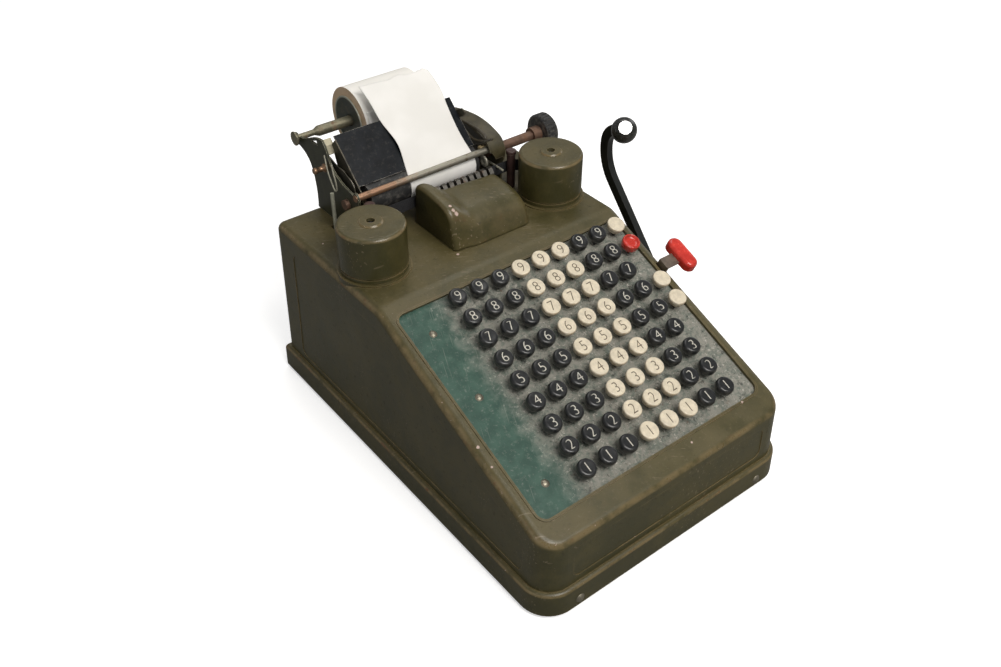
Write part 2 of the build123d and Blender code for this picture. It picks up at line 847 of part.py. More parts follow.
def make_left_plate():
    """The left plate: its bare front edge sweeps down in a J to the toe that holds the paper bar."""
    brow = on_deck([(171.0, 60.0), (160.5, 64.4), (152.5, 65.6)])
    sweep = on_deck([(152.5, 65.6), (148.9, 62.0), (145.6, 55.6), (143.6, 50.6), (140.1, 46.2),
                     (133.6, 42.3), (126.5, 39.6), (119.5, 38.2)])
    toe = bar_y + 4.2, bar_z + 1.0
    under = bar_y - 4.2, bar_z - 1.0
    foot = [under, (plate_front, bar_z - 8.0), (plate_front, deck_height), (170.0, deck_height)]
    ear = ear_points()
    x = plate_left_x
    runs = [rear_curve()] + straight(ear) + [[ear[-1]] + brow, sweep + [toe],
                                             [toe, (bar_y, bar_z + 4.3), under]] + straight(foot)
    plate = sheet_x(runs, x - carriage_plate / 2, x + carriage_plate / 2)
    lip = on_deck([(152.5, 65.6), (148.9, 62.0), (145.6, 55.6), (147.1, 55.0), (150.2, 61.0), (153.4, 64.2)])
    notch = across(on_deck([(170.0, 58.0), (159.0, 58.6), (160.5, 62.0)]), x - 3, x + 3)
    return plate + across(lip, x, table_left - fit_gap) - notch - carriage_holes(x)


def make_right_plate():
    """The right plate with its wide rounded brow turned inward, and the arm under the roll's end."""
    x = plate_right_x
    brow = on_deck([(171.0, 44.8), (164.0, 46.6), (151.0, 48.8), (137.0, 50.0), (124.0, 49.0),
                    (113.0, 46.2), (106.0, 42.6), (102.6, 36.5), (102.2, 30.0)])
    rear = on_deck([(170.0, 0.0), (168.4, 14.0), (168.6, 26.0), (171.0, 36.0)])
    prong = on_deck([(171.0, 36.0), (181.0, 46.5), (178.5, 48.5), (171.0, 44.8)])
    front = [(102.2, deck_height + 30.0), (103.2, deck_height + 25.0), (plate_front, deck_height + 20.0),
             (plate_front, deck_height), (170.0, deck_height)]
    plate = sheet_x([rear] + straight(prong) + [brow] + straight(front),
                    x - carriage_plate / 2, x + carriage_plate / 2)
    under = [(y + 0.35 * carriage_plate, z - carriage_plate) for y, z in reversed(brow)]
    loop = [brow, [brow[-1], under[0]], under, [under[-1], brow[0]]]
    flange = sheet_x(loop, x - plate_flange, x + carriage_plate / 2)
    flange = flange - Pos(x - plate_flange, under[0][0], under[0][1]) * Rot(45, 0, 40) * Box(9, 60, 12)
    arm_foot = on_deck([(160.0, 0.0), (170.0, 0.0)])
    ear = ear_points()
    arm = sheet_x([arm_foot, rear_curve()] + straight(ear) + [[ear[-1], (178.0, roll_z - 8.0), arm_foot[0]]],
                  roll_arm_x - carriage_plate / 2, roll_arm_x + carriage_plate / 2)
    holes = carriage_holes(x)
    return [plate + flange - holes, arm - carriage_holes(roll_arm_x)]


def make_platen_bracket():
    """The inner right upright that carries the platen's shaft, its feed wheel, and the left sheet."""
    half = bracket_thickness / 2
    outline = [
        (platen_y - 8.5, deck_height), (platen_y + 9.5, deck_height), (platen_y + 6.5, platen_z + 4),
        (platen_y, platen_z + 7.5), (platen_y - 6.5, platen_z + 4),
    ]
    hole = rod_x(platen_shaft_radius + shaft_clearance, plate_left_x, plate_right_x, platen_y, platen_z)
    upright = across(outline, platen_bracket_x - half, platen_bracket_x + half)
    feed_z = platen_z - feed_wheel_drop
    feed_end = feed_wheel_x + feed_wheel_width
    stud = rod_x(feed_wheel_radius / 3, platen_bracket_x + half, feed_end + 1, feed_wheel_y, feed_z)
    wheel = rod_x(feed_wheel_radius, feed_wheel_x, feed_end, feed_wheel_y, feed_z)
    wheel = chamfer(wheel.edges().filter_by(GeomType.CIRCLE), 0.6)
    sheet = on_deck([(116.5, 0.0), (160.0, 0.0), (158.0, 51.0), (151.2, 50.4), (141.2, 47.0), (132.5, 47.0),
                     (127.9, 44.8), (122.1, 43.1), (118.2, 39.2), (117.5, 34.0)])
    left = across(sheet, left_sheet_x - half / 2, left_sheet_x + half / 2)
    return [upright - hole, stud + wheel, left - hole]


def make_platen():
    roller = rod_x(platen_radius, platen_left, platen_right, platen_y, platen_z)
    roller = roller - rod_x(platen_shaft_radius, platen_left - 1, platen_right + 1, platen_y, platen_z)
    shaft = rod_x(platen_shaft_radius, plate_left_x - 4, knob_x + knob_thickness - 1, platen_y, platen_z)
    hub = rod_x(knob_hub_radius, knob_x - knob_hub_length, knob_x, platen_y, platen_z)
    shaft = shaft + hub
    knob = rod_x(knob_radius, knob_x, knob_x + knob_thickness, platen_y, platen_z)
    knob = chamfer(knob.edges().filter_by(GeomType.CIRCLE), 1.4)
    grooves = []
    for i in range(knob_ribs):
        angle = 2 * pi * i / knob_ribs
        y = platen_y + knob_radius * cos(angle)
        z = platen_z + knob_radius * sin(angle)
        grooves.append(rod_x(knob_rib_depth, knob_x - 1, knob_x + knob_thickness + 1, y, z))
    knob = knob - grooves
    knob = knob - rod_x(platen_shaft_radius, knob_x - 1, knob_x + knob_thickness - 1, platen_y, platen_z)
    return roller, shaft, knob


def table_start():
    """The (y, z) point where the paper leaves the platen along the table's slope."""
    lean = radians(table_slope)
    return platen_y - paper_radius * sin(lean), platen_z + paper_radius * cos(lean)


def make_paper_table():
    """The black sheet that leans back behind the platen and carries the paper up to the tear."""
    y, z = table_start()
    lean = radians(table_slope)
    drop = table_thickness / 2 + paper_gap
    start = (y + drop * sin(lean) + table_lift * cos(lean), z - drop * cos(lean) + table_lift * sin(lean))
    face = band(start, table_slope, [(table_length, 0)], table_thickness)
    width = platen_bracket_x - bracket_thickness - table_left
    return Pos(table_left, 0, 0) * extrude(face, width, dir=(1, 0, 0))


def make_paper():
    """Paper from the roll, under and round the platen, up over the table to its torn end."""
    start = table_start()
    on_roll = roll_radius + fit_gap + paper_thickness / 2
    apart = hypot(roll_y - platen_y, roll_z - platen_z)
    heading = atan2(roll_z - platen_z, roll_y - platen_y) + asin((paper_radius + on_roll) / apart)
    wrap = degrees(heading) + 180 - table_slope
    feed = sqrt(apart**2 - (paper_radius + on_roll) ** 2)
    lower = band(start, table_slope + 180, [(paper_radius, wrap), (feed, 0)], paper_thickness)
    upper = band(start, table_slope, [(paper_rise, 0), (paper_curl_radius, -paper_curl)], paper_thickness)
    width = paper_right - paper_left
    strip = extrude(lower, width, dir=(1, 0, 0)) + extrude(upper, width, dir=(1, 0, 0))
    return Pos(paper_left, 0, 0) * strip


def make_paper_roll():
    tube = rod_x(roll_radius, roll_left, roll_right, roll_y, roll_z)
    return tube - rod_x(roll_core_radius, roll_left - 1, roll_right + 1, roll_y, roll_z)


def make_left_spindle():
    """The flared pin that holds the roll's left end and pulls out to change the roll."""
    grip = plate_left_x - carriage_plate / 2 - fit_gap
    points = [
        (grip - 3.4, 0), (grip - 3.4, spindle_flare_radius), (grip - 2.4, spindle_flare_radius),
        (grip, spindle_neck_radius), (grip + 14.0, spindle_neck_radius),
        (grip + 18.0, spindle_radius), (roll_left + spindle_disc_depth, spindle_radius),
        (roll_left + spindle_disc_depth, spindle_disc_radius),
        (roll_left + spindle_disc_depth + 2.0, spindle_disc_radius),
        (roll_left + spindle_disc_depth + 2.0, 0),
    ]
    outline = make_face(Polyline(*[(x, r) for x, r in points], close=True))
    return Pos(0, roll_y, roll_z) * revolve(outline, Axis.X)


def make_right_spindle():
    disc = rod_x(spindle_disc_radius, roll_right - 10, roll_right - 8, roll_y, roll_z)
    pin = rod_x(spindle_radius, roll_right - 8, roll_arm_x - carriage_plate / 2 - fit_gap, roll_y, roll_z)
    neck = rod_x(spindle_neck_radius, roll_right, roll_arm_x + 3.0, roll_y, roll_z)
    return disc + pin + neck


def make_paper_bar():
    """The round bar across the front of the paper, fixed in both carriage plates."""
    return rod_x(bar_radius, plate_left_x - 1.5, plate_right_x + 1.5, bar_y, bar_z)


def make_release_lever():
    """A light rod standing in a slot of the deck, pinned below it, with its wire loop."""
    rod = post_z(lever_radius, lever_x, lever_y, deck_height - 14, deck_height + lever_height)
    pivot = rod_x(lever_radius, lever_x - 3, lever_x + 3, lever_y, deck_height - 12)
    return rod + pivot


# ---------------------------------------------------------------- crank
def crank_end():
    """The (y, z) of the ball's centre, at the end of the arm's hook."""
    y = crank_y + crank_straight * cos(radians(crank_lean))
    z = crank_z + crank_straight * sin(radians(crank_lean))
    angle = crank_lean
    for radius, turn in ((crank_bend_radius, crank_bend), (crank_hook_radius, crank_hook)):
        start = radians(angle)
        end = radians(angle + turn)
        y += radius * (sin(end) - sin(start))
        z += radius * (cos(start) - cos(end))
        angle += turn
    return y, z


def make_crank():
    """The arm with its boss, the shaft through the machine, the ball and the bright pin in it."""
    face = band(
        (crank_y, crank_z), crank_lean,
        [(crank_straight, 0), (crank_bend_radius, crank_bend), (crank_hook_radius, crank_hook)],
        crank_arm_width,
    )
    left = crank_x - crank_arm_thickness / 2
    arm = Pos(left, 0, 0) * extrude(face, crank_arm_thickness, dir=(1, 0, 0))
    boss = rod_x(crank_boss_radius, left - 2.0, left - 2.0 + crank_boss_length, crank_y, crank_z)
    arm = arm + boss
    shaft = rod_x(crank_shaft_radius, -frame_outer - 2, left + 4, crank_y, crank_z)
    arm = arm - shaft
    y, z = crank_end()
    ball = Pos(crank_x, y, z) * Sphere(knob_ball_radius)
    facing = Plane(origin=(crank_x, y, z), z_dir=(-0.5, -0.6, 0.62))
    pin = facing.location * (
        Cylinder(knob_pin_radius, knob_ball_radius + knob_pin_dome * 0.4,
                 align=(Align.CENTER, Align.CENTER, Align.MIN))
    )
    arm = arm - (Pos(crank_x, y, z) * Sphere(knob_ball_radius * 0.35)) - pin
    ball = ball - arm - pin
    return arm, shaft, ball, pin


# ---------------------------------------------------------------- frame and adding mechanism
def make_base():
    inset = wall + fit_gap + (base_bottom + base_thickness - foot_gap) * tan(radians(wall_draft))
    rear = case_rear - wall - fit_gap
    plate = Pos(0, 0, base_bottom - foot_gap) * extrude(foot_plan(-inset), base_thickness)
    plate = plate & Pos(0, rear - case_length, 0) * Box(2 * case_width, 2 * case_length, deck_height)
    corners = plate.edges().filter_by(Axis.Z).filter_by(lambda e: e.center().Y > rear - 1)
    plate = fillet(corners, top_edge_radius)
    feet = [
        post_z(foot_radius, side * foot_x, y, 0, base_bottom)
        for side in (-1, 1) for y in (case_front + foot_inset, case_rear - foot_inset)
    ]
    return plate, feet


def make_side_frame(side):
    """A steel side plate under the keyboard plate and the deck, with holes for rods and shafts."""
    under = (plate_drop + plate_thickness) / cos(slope)
    step = opening_y + (opening_length / 2 + plate_overlap) * cos(slope) + 2.0
    top = deck_height - wall - fit_gap
    outline = [
        (frame_front, base_top), (frame_rear, base_top), (frame_rear, top), (deck_front + 6, top),
        (step, rim_z(step) - under), (frame_front, rim_z(frame_front) - under),
    ]
    x0 = side * frame_x - frame_thickness / 2
    plate = across(outline, x0, x0 + frame_thickness)
    for radius, y, z in shaft_places():
        plate = plate - rod_x(radius + shaft_clearance, x0 - 1, x0 + frame_thickness + 1, y, z)
    return plate


def rod_places():
    """The (y, z) places of the four tie rods, two of them under the racks."""
    under = rack_bottom - fit_gap - tie_rod_radius
    rear = frame_rear - 4 * tie_rod_radius
    low, high = base_top + 8 * tie_rod_radius, deck_height - 7 * tie_rod_radius
    return [(rack_front + rod_inset, under), (rack_rear - rod_inset, under), (rear, low), (rear, high)]


def shaft_places():
    """Radius and (y, z) place of everything round that the side frames carry."""
    places = [(tie_rod_radius - shaft_clearance, y, z) for y, z in rod_places()]
    return places + [(crank_shaft_radius, crank_y, crank_z), (wheel_bore_radius, wheel_y, wheel_z)]


def make_tie_rods():
    return [rod_x(tie_rod_radius, -frame_outer, frame_outer, y, z) for y, z in rod_places()]


def make_racks():
    """Toothed adding racks, one under each column of keys."""
    pitch = 2 * pi * wheel_pitch_radius / wheel_teeth
    root = rack_bottom + rack_height
    tip = rack_pitch_z + tooth_addendum
    root_half = pitch * tooth_share * 0.72
    tip_half = pitch * tooth_share * 0.25
    points = [(rack_front, root), (rack_front, rack_bottom), (rack_rear, rack_bottom), (rack_rear, root)]
    count = int((rack_travel + 2 * pitch) / pitch) + 1
    teeth = [wheel_y + pitch / 2 + (i - 2) * pitch for i in range(count + 2)]
    for y in reversed(teeth):
        points += [(y + root_half, root), (y + tip_half, tip), (y - tip_half, tip), (y - root_half, root)]
    return [across(points, x - rack_thickness / 2, x + rack_thickness / 2) for x in column_xs]


def make_wheels():
    """Ten-tooth adding wheels in mesh with the racks, and their shaft."""
    root = wheel_pitch_radius - tooth_dedendum
    tip = wheel_pitch_radius + tooth_addendum
    step = 2 * pi / wheel_teeth
    points = []
    for i in range(wheel_teeth):
        middle = -pi / 2 + i * step
        for radius, share in ((root, -0.36), (tip, -0.11), (tip, 0.11), (root, 0.36)):
            angle = middle + share * step * tooth_share / 0.5
            points.append((wheel_y + radius * cos(angle), wheel_z + radius * sin(angle)))
    shaft = rod_x(wheel_bore_radius, -frame_outer, frame_outer, wheel_y, wheel_z)
    half = wheel_thickness / 2
    return [shaft] + [across(points, x - half, x + half) - shaft for x in column_xs]


def build_nodes():
    nodes = {}
    nodes["case"] = make_case()
    nodes["case_screws"] = make_case_screws()
    nodes["base_plate"], nodes["rubber_feet"] = make_base()
    nodes["keyboard_plate"] = make_keyboard_plate()
    nodes["key_guide_plate"] = make_key_guide_plate()
    nodes.update(make_key_columns())
    nodes.update(make_function_keys())
    nodes["minus_bar"], nodes["minus_bar_arm"] = make_minus_bar()
    for name, side in (("left", -1), ("right", 1)):
        nodes[f"spool_cover_{name}"] = make_spool_cover(side)
        nodes[f"ribbon_spool_{name}"] = make_spool(side)
        nodes[f"side_frame_{name}"] = make_side_frame(side)
    nodes["spool_shafts"] = make_spool_shafts()
    nodes["ribbon"] = make_ribbon()
    nodes["ribbon_guide_posts"] = make_guide_posts()
    nodes["type_hood"] = make_hood()
    nodes["type_bars"] = make_type_bars()
    nodes["type_bar_guides"] = make_type_guides()
    nodes["carriage_plate_left"] = make_left_plate()
    nodes["carriage_plate_right"] = make_right_plate()
    nodes["platen_bracket"] = make_platen_bracket()
    nodes["platen_roller"], nodes["platen_shaft"], nodes["platen_knob"] = make_platen()
    nodes["paper_table"] = make_paper_table()
    nodes["paper_strip"] = make_paper()
    nodes["paper_roll"] = make_paper_roll()
    nodes["roll_spindle_left"] = make_left_spindle()
    nodes["roll_spindle_right"] = make_right_spindle()
    nodes["paper_bar"] = make_paper_bar()
    nodes["release_lever"] = make_release_lever()
    nodes["crank_arm"], nodes["crank_shaft"], nodes["crank_knob"], nodes["crank_knob_pin"] = make_crank()
    nodes["tie_rods"] = make_tie_rods()
    nodes["adding_racks"] = make_racks()
    nodes["adding_wheels"] = make_wheels()
    return nodes


def write(nodes):
    os.makedirs("parts", exist_ok=True)
    for name, shape in nodes.items():
        solids = shape if isinstance(shape, list) else [shape]
        pieces = [to_origin * piece for solid in solids for piece in solid.solids()]
        export_step(Compound(children=pieces) if len(pieces) > 1 else pieces[0], f"parts/{name}.step")


write(build_nodes())
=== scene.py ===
import bmesh
import bpy
import numpy as np
from mathutils import Matrix, Vector


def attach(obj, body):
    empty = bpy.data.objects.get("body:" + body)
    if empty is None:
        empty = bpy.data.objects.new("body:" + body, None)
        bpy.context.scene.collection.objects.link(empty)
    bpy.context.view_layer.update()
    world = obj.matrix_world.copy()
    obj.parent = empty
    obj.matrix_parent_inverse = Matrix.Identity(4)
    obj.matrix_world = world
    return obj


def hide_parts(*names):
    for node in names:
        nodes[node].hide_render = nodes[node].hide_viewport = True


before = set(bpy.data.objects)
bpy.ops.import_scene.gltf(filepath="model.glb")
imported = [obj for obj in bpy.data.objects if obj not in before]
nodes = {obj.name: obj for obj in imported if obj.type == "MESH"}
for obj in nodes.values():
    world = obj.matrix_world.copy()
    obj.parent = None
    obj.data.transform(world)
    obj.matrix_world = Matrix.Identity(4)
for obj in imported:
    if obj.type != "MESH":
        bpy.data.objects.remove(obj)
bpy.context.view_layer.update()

# ---------------------------------------------------------------- view
# The machine stands on a plain pale floor under soft studio light, seen from above its
# front left corner. Points are written in millimetres about the middle of the case.
MIDDLE = np.array([-14.05, -22.4548, 0.0])


def in_frame(points):
    """Millimetres about the middle of the case, turned into the frame's metres."""
    return (np.asarray(points, float) + MIDDLE) / 1000.0


azimuth, elevation, roll = np.radians([-38.24, 38.63, 0.21])
back = np.array([np.sin(azimuth) * np.cos(elevation), -np.cos(azimuth) * np.cos(elevation), np.sin(elevation)])
level = np.cross(-back, [0, 0, 1])
level = level / np.linalg.norm(level)
upward = np.cross(level, -back)
right = level * np.cos(roll) + upward * np.sin(roll)
upward = upward * np.cos(roll) - level * np.sin(roll)
lens = bpy.data.cameras.new("camera")
lens.sensor_width = 36.0
lens.lens = 37.087
lens.clip_start = 0.05
camera = bpy.data.objects.new("camera", lens)
camera.matrix_world = Matrix([[*row, place] for row, place in zip(
    np.array([right, upward, back]).T, in_frame([-396.2, -473.9, 578.3]))] + [[0, 0, 0, 1]])
bpy.context.scene.collection.objects.link(camera)
bpy.context.scene.camera = camera


def soft_lamp(name, place, target, size, power, colour):
    """A square area lamp at `place` that faces `target`."""
    lamp = bpy.data.lights.new(name, "AREA")
    lamp.size = size
    lamp.energy = power
    lamp.color = colour
    holder = bpy.data.objects.new(name, lamp)
    holder.location = place
    holder.rotation_euler = (Vector(target) - Vector(place)).to_track_quat("-Z", "Y").to_euler()
    bpy.context.scene.collection.objects.link(holder)


soft_lamp("main_lamp", (0.0, -1.0, 1.45), (0, 0, 0.1), 0.9, 21.0, (1.0, 0.97, 0.93))
soft_lamp("rear_lamp", (0.45, 0.60, 1.6), (0, 0, 0.1), 1.0, 6.0, (1.0, 0.98, 0.95))
soft_lamp("right_lamp", (1.7, 0.3, 0.8), (0, 0, 0.1), 0.8, 2.5, (0.98, 0.98, 1.0))
soft_lamp("side_lamp", (-1.6, -0.4, 0.7), (0, 0, 0.1), 0.8, 1.2, (0.95, 0.98, 1.0))
bpy.context.scene.view_settings.view_transform = "Standard"


class Signal:
    """One output socket of a finish. Sums, products and powers of it add Math nodes."""

    def __init__(self, finish, socket):
        self.finish = finish
        self.socket = socket

    def math(self, operation, *others):
        return self.finish.add("Math", {"operation": operation}, self, *others)

    def __add__(self, other):
        return self.math("ADD", other)

    def __sub__(self, other):
        return self.math("SUBTRACT", other)

    def __mul__(self, other):
        return self.math("MULTIPLY", other)

    def __truediv__(self, other):
        return self.math("DIVIDE", other)

    def __pow__(self, other):
        return self.math("POWER", other)

    def __rsub__(self, other):
        return self.finish.add("Math", {"operation": "SUBTRACT"}, other, self)

    __radd__ = __add__
    __rmul__ = __mul__

    def between(self, low, high):
        """0 at low, 1 at high and smooth between them, also where low is the larger."""
        settings = {"interpolation_type": "SMOOTHSTEP"}
        if low < high:
            return self.finish.add("MapRange", settings, self, low, high, 0.0, 1.0)
        return self.finish.add("MapRange", settings, self, high, low, 1.0, 0.0)


class Finish:
    """A material in the making: its nodes, its shader and the one way to add a node."""

    def __init__(self, name):
        self.material = bpy.data.materials.new(name)
        self.material.use_nodes = True
        self.tree = self.material.node_tree
        self.shader = self.tree.nodes["Principled BSDF"]

    def feed(self, socket, value):
        if isinstance(value, Signal):
            self.tree.links.new(value.socket, socket)
        elif value is not None:
            socket.default_value = value

    def add(self, kind, settings, *values, output=0, **named):
        """A node of a type, with its settings made first, then the values or links of its sockets."""
        node = self.tree.nodes.new("ShaderNode" + kind)
        for key, value in settings.items():
            if key == "stops":
                for stop, (at, colour) in zip(node.color_ramp.elements, value):
                    stop.position = at
                    stop.color = colour
            else:
                setattr(node, key, value)
        for place, value in enumerate(values):
            self.feed(node.inputs[place], value)
        for key, value in named.items():
            self.feed(node.inputs[key], value)
        return Signal(self, node.outputs[output])

    def mix(self, mask, first, second):
        """The first colour where the mask is 0, the second where it is 1."""
        settings = {"data_type": "RGBA"}
        return self.add("Mix", settings, mask, None, None, None, None, None, first, second, output=2)

    def spot(self, stretch=(1, 1, 1), turn=(0, 0, 0), shift=(14.05, 22.4548, 0.0)):
        """Object coordinates in millimetres about the middle of the case, turned or stretched."""
        place = self.add("TexCoord", {}, output=3)
        centred = self.add("Mapping", {"vector_type": "POINT"}, place, shift, (0, 0, 0), (1000, 1000, 1000))
        if turn != (0, 0, 0):
            centred = self.add("Mapping", {"vector_type": "POINT"}, centred, (0, 0, 0), turn, (1, 1, 1))
        return self.add("Mapping", {"vector_type": "POINT"}, centred, (0, 0, 0), (0, 0, 0), stretch)

    def grain(self, size, detail=2.0, roughness=0.5, at=None):
        """Noise from about 0.3 to 0.7 whose lumps are `size` millimetres across."""
        place = at or self.spot()
        return self.add("TexNoise", {}, Vector=place, Scale=1.0 / size, Detail=detail, Roughness=roughness)

    def facing(self, axis):
        """The surface normal's part along x, y or z, from -1 to 1."""
        normal = self.add("NewGeometry", {}, output=1)
        return self.add("SeparateXYZ", {}, normal, output="xyz".index(axis))

    def worn_edge(self, radius):
        """1 on sharp edges and 0 on flat faces, from how far a rounded normal leaves the true one."""
        soft = self.add("Bevel", {"samples": 4}, radius / 1000.0)
        true = self.add("NewGeometry", {}, output=1)
        same = self.add("VectorMath", {"operation": "DOT_PRODUCT"}, soft, true, output=1)
        return 1.0 - same

    def bump(self, height, depth, under=None):
        """A bump of `depth` millimetres for a height that goes from 0 to 1."""
        self.last = self.add("Bump", {}, 1.0, depth / 1000.0, Height=height, Normal=under)
        self.feed(self.shader.inputs["Normal"], self.last)
        return self.last

    def done(self, colour, roughness, metallic=0.0, coat=0.0):
        self.feed(self.shader.inputs["Base Color"], colour)
        self.feed(self.shader.inputs["Roughness"], roughness)
        self.feed(self.shader.inputs["Metallic"], metallic)
        self.feed(self.shader.inputs["Coat Weight"], coat)
        return self.material


floor = Finish("pale_floor")
lit = floor.shader.outputs[0]
seen = floor.add("LightPath", {}, output=0)
floor.done(floor.mix(seen, (0.24, 0.24, 0.23, 1), (0.90, 0.90, 0.90, 1)), 0.8)
white = floor.add("Emission", {}, (1, 1, 1, 1), seen * 0.50)
both = floor.add("AddShader", {}, Signal(floor, lit), white)
floor.feed(floor.tree.nodes["Material Output"].inputs["Surface"], both)
ground = bpy.data.meshes.new("ground")
ground.from_pydata([(-6, -6, 0), (6, -6, 0), (6, 6, 0), (-6, 6, 0)], [], [(0, 1, 2, 3)])
ground.materials.append(floor.material)
ground_object = bpy.data.objects.new("ground", ground)
bpy.context.scene.collection.objects.link(ground_object)
world = bpy.data.worlds.new("studio")
world.use_nodes = True
sky = world.node_tree.nodes["Background"]
sky.inputs["Color"].default_value = (1.0, 1.0, 1.0, 1)
seen = world.node_tree.nodes.new("ShaderNodeLightPath").outputs["Is Camera Ray"]
level = world.node_tree.nodes.new("ShaderNodeMapRange")
level.inputs["To Min"].default_value = 0.28
level.inputs["To Max"].default_value = 1.0
world.node_tree.links.new(seen, level.inputs["Value"])
world.node_tree.links.new(level.outputs["Result"], sky.inputs["Strength"])
bpy.context.scene.world = world

# ---------------------------------------------------------------- case, drums and hood
# Pressed sheet steel under thick olive-drab paint. The rounds are rubbed paler and carry a painted highlight, the
# deck is paler with dust and painted top light, the paint is chipped to a pinkish primer at the corners, and grime
# and dust lie in patches.


def drab_paint(name, chips, marks=(), rub=1.0):
    """Olive-drab paint whose colour shifts in broad patches, paler on rounds (wear and a painted highlight) and
    where it faces up (a dust film and painted top light).

    Each mark is (x, y, z, radius) in millimetres, a place where the paint is chipped to pale primer.
    """
    paint = Finish(name)
    paint.shader.inputs["Specular IOR Level"].default_value = 0.5
    broad = paint.grain(70, 3.0, 0.55)
    blotch = paint.grain(9, 4.0, 0.6)
    fine = paint.grain(2.6, 5.0, 0.7)
    up = paint.facing("z")
    deep = (0.045, 0.041, 0.013, 1)
    plain = (0.070, 0.059, 0.019, 1)
    # The rubbed colour: worn paint on sharp edges and rounds, and a painted highlight along the rounds.
    rubbed = (0.205, 0.152, 0.072, 1)
    colour = paint.mix((broad * 0.6 + blotch * 0.4).between(0.38, 0.62), deep, plain)
    # Up-facing paint is paler in broad patches: partly a dust film, partly painted top light.
    dust_film_and_top_light = up.between(0.72, 1.0) * (0.35 + paint.grain(30, 4.0, 0.6).between(0.32, 0.68))
    colour = paint.mix(dust_film_and_top_light * 0.42, colour, (0.122, 0.095, 0.037, 1))
    # Rounds, where the surface turns from facing up to facing the side, take the rubbed colour: partly wear, partly
    # a painted highlight. rub scales it.
    rounds_wear_and_highlight = (up * (1.0 - up) * 4.0).between(0.35, 1.0)
    sharp = paint.worn_edge(1.8).between(0.015, 0.22)
    wear_and_highlight = (rounds_wear_and_highlight * 0.95 * rub + sharp) * paint.grain(20, 5.0, 0.68).between(0.30, 0.58)
    colour = paint.mix(wear_and_highlight * 0.80, colour, rubbed)
    rust = wear_and_highlight * paint.grain(13, 5.0, 0.7).between(0.56, 0.68)
    colour = paint.mix(rust * 0.60, colour, (0.120, 0.036, 0.014, 1))
    grime = paint.grain(3.4, 5.0, 0.72).between(0.56, 0.74)
    colour = paint.mix(grime * 0.45, colour, (0.020, 0.017, 0.009, 1))
    dusty = fine.between(0.54, 0.74) * up.between(0.55, 1.0)
    colour = paint.mix(dusty * 0.30, colour, (0.230, 0.190, 0.120, 1))
    across = paint.spot((0.03, 1.0, 0.4), (0.2, 0.1, 0.5))
    scratch = paint.grain(0.9, 1.0, 0.4, across).between(0.675, 0.71)
    where = paint.grain(45, 2.0).between(0.50, 0.64)
    colour = paint.mix(scratch * where * 0.60, colour, (0.24, 0.19, 0.12, 1))
    speck = paint.grain(2.0, 2.0, 0.4).between(0.785 - 0.070 * chips, 0.800 - 0.068 * chips)
    near = (rounds_wear_and_highlight + sharp + 0.15).math("MINIMUM", 1.0)
    chip = speck * near * paint.grain(30, 1.0).between(0.46, 0.60)
    for x, y, z, radius in marks:
        gap = paint.add("VectorMath", {"operation": "DISTANCE"}, paint.spot(), (x, y, z), output=1)
        spot = (gap + fine * radius * 1.6).between(radius * 1.9, radius * 1.4)
        chip = chip.math("MAXIMUM", spot)
    colour = paint.mix(chip, colour, (0.56, 0.42, 0.36, 1))
    skin = paint.bump(paint.grain(1.1, 2.0, 0.5), 0.05)
    skin = paint.bump(paint.grain(38, 2.0, 0.4), 0.55, skin)
    paint.bump(chip, -0.12, skin)
    rough = 0.26 + blotch * 0.16 + dust_film_and_top_light * 0.16 + grime * 0.2 - wear_and_highlight * 0.06
    return paint.done(colour, rough, coat=0.05)


def wear_finish(finish, *names):
    """Gives CAD nodes a finish; their shape and place stay as they are."""
    for name in names:
        for place in nodes[name].material_slots:
            place.material = finish


wear_finish(drab_paint("case_paint", 0.8, [(-98.6, 121.1, 144.0, 0.8), (-26.5, 47.0, 144.0, 1.3),
                                           (-109.4, -86.5, 97.9, 1.1), (-109.6, -101.7, 91.7, 0.9),
                                           (-113.2, 35.6, 147.9, 1.3), (84.0, -147.6, 73.0, 1.2),
                                           (27.0, -152.7, 71.0, 1.0), (-81.0, 17.7, 144.0, 0.9)]), "case")
wear_finish(drab_paint("drum_paint", 0.2), "spool_cover_left", "spool_cover_right")

# ---------------------------------------------------------------- screws, frame and inner steel
# Zinc-plated and plain steel: the screws at the foot, the frame under the cover, the racks,
# wheels, rods and stems. It has a drawn grain, oil stains and a little rust.


def dull_steel(name, colour, rust, rough, metal=0.9):
    """Brushed steel: fine streaks in the roughness, brown rust where broad noise is high."""
    steel = Finish(name)
    streak = steel.grain(0.5, 2.0, 0.6, steel.spot((0.08, 1, 1)))
    stain = steel.grain(7, 4.0, 0.65)
    tone = steel.mix(stain.between(0.35, 0.65), tuple(0.72 * c for c in colour[:3]) + (1,), colour)
    rusty = stain.between(0.66 - 0.16 * rust, 0.72)
    tone = steel.mix(rusty * 0.8, tone, (0.16, 0.075, 0.035, 1))
    steel.bump(streak, 0.02)
    return steel.done(tone, rough + streak * 0.18 + rusty * 0.35, metal - rusty * metal * 0.75)


frame_steel = dull_steel("frame_steel", (0.40, 0.39, 0.37, 1), 0.4, 0.30)
wear_finish(frame_steel, "side_frame_left", "side_frame_right", "tie_rods", "base_plate", "key_guide_plate",
            "adding_racks", "adding_wheels", "type_bar_guides", "spool_shafts",
            "ribbon_spool_left", "ribbon_spool_right", "crank_shaft")
wear_finish(dull_steel("screw_steel", (0.34, 0.31, 0.24, 1), 0.7, 0.36), "case_screws")
wear_finish(dull_steel("stem_steel", (0.20, 0.19, 0.18, 1), 0.6, 0.42),
            *[f"keystems_column_{column}" for column in range(1, 9)])
feet = Finish("foot_rubber")
feet.bump(feet.grain(0.8, 3.0), 0.08)
wear_finish(feet.done(feet.mix(feet.grain(5, 3.0), (0.02, 0.02, 0.02, 1), (0.05, 0.05, 0.045, 1)), 0.75),
            "rubber_feet")

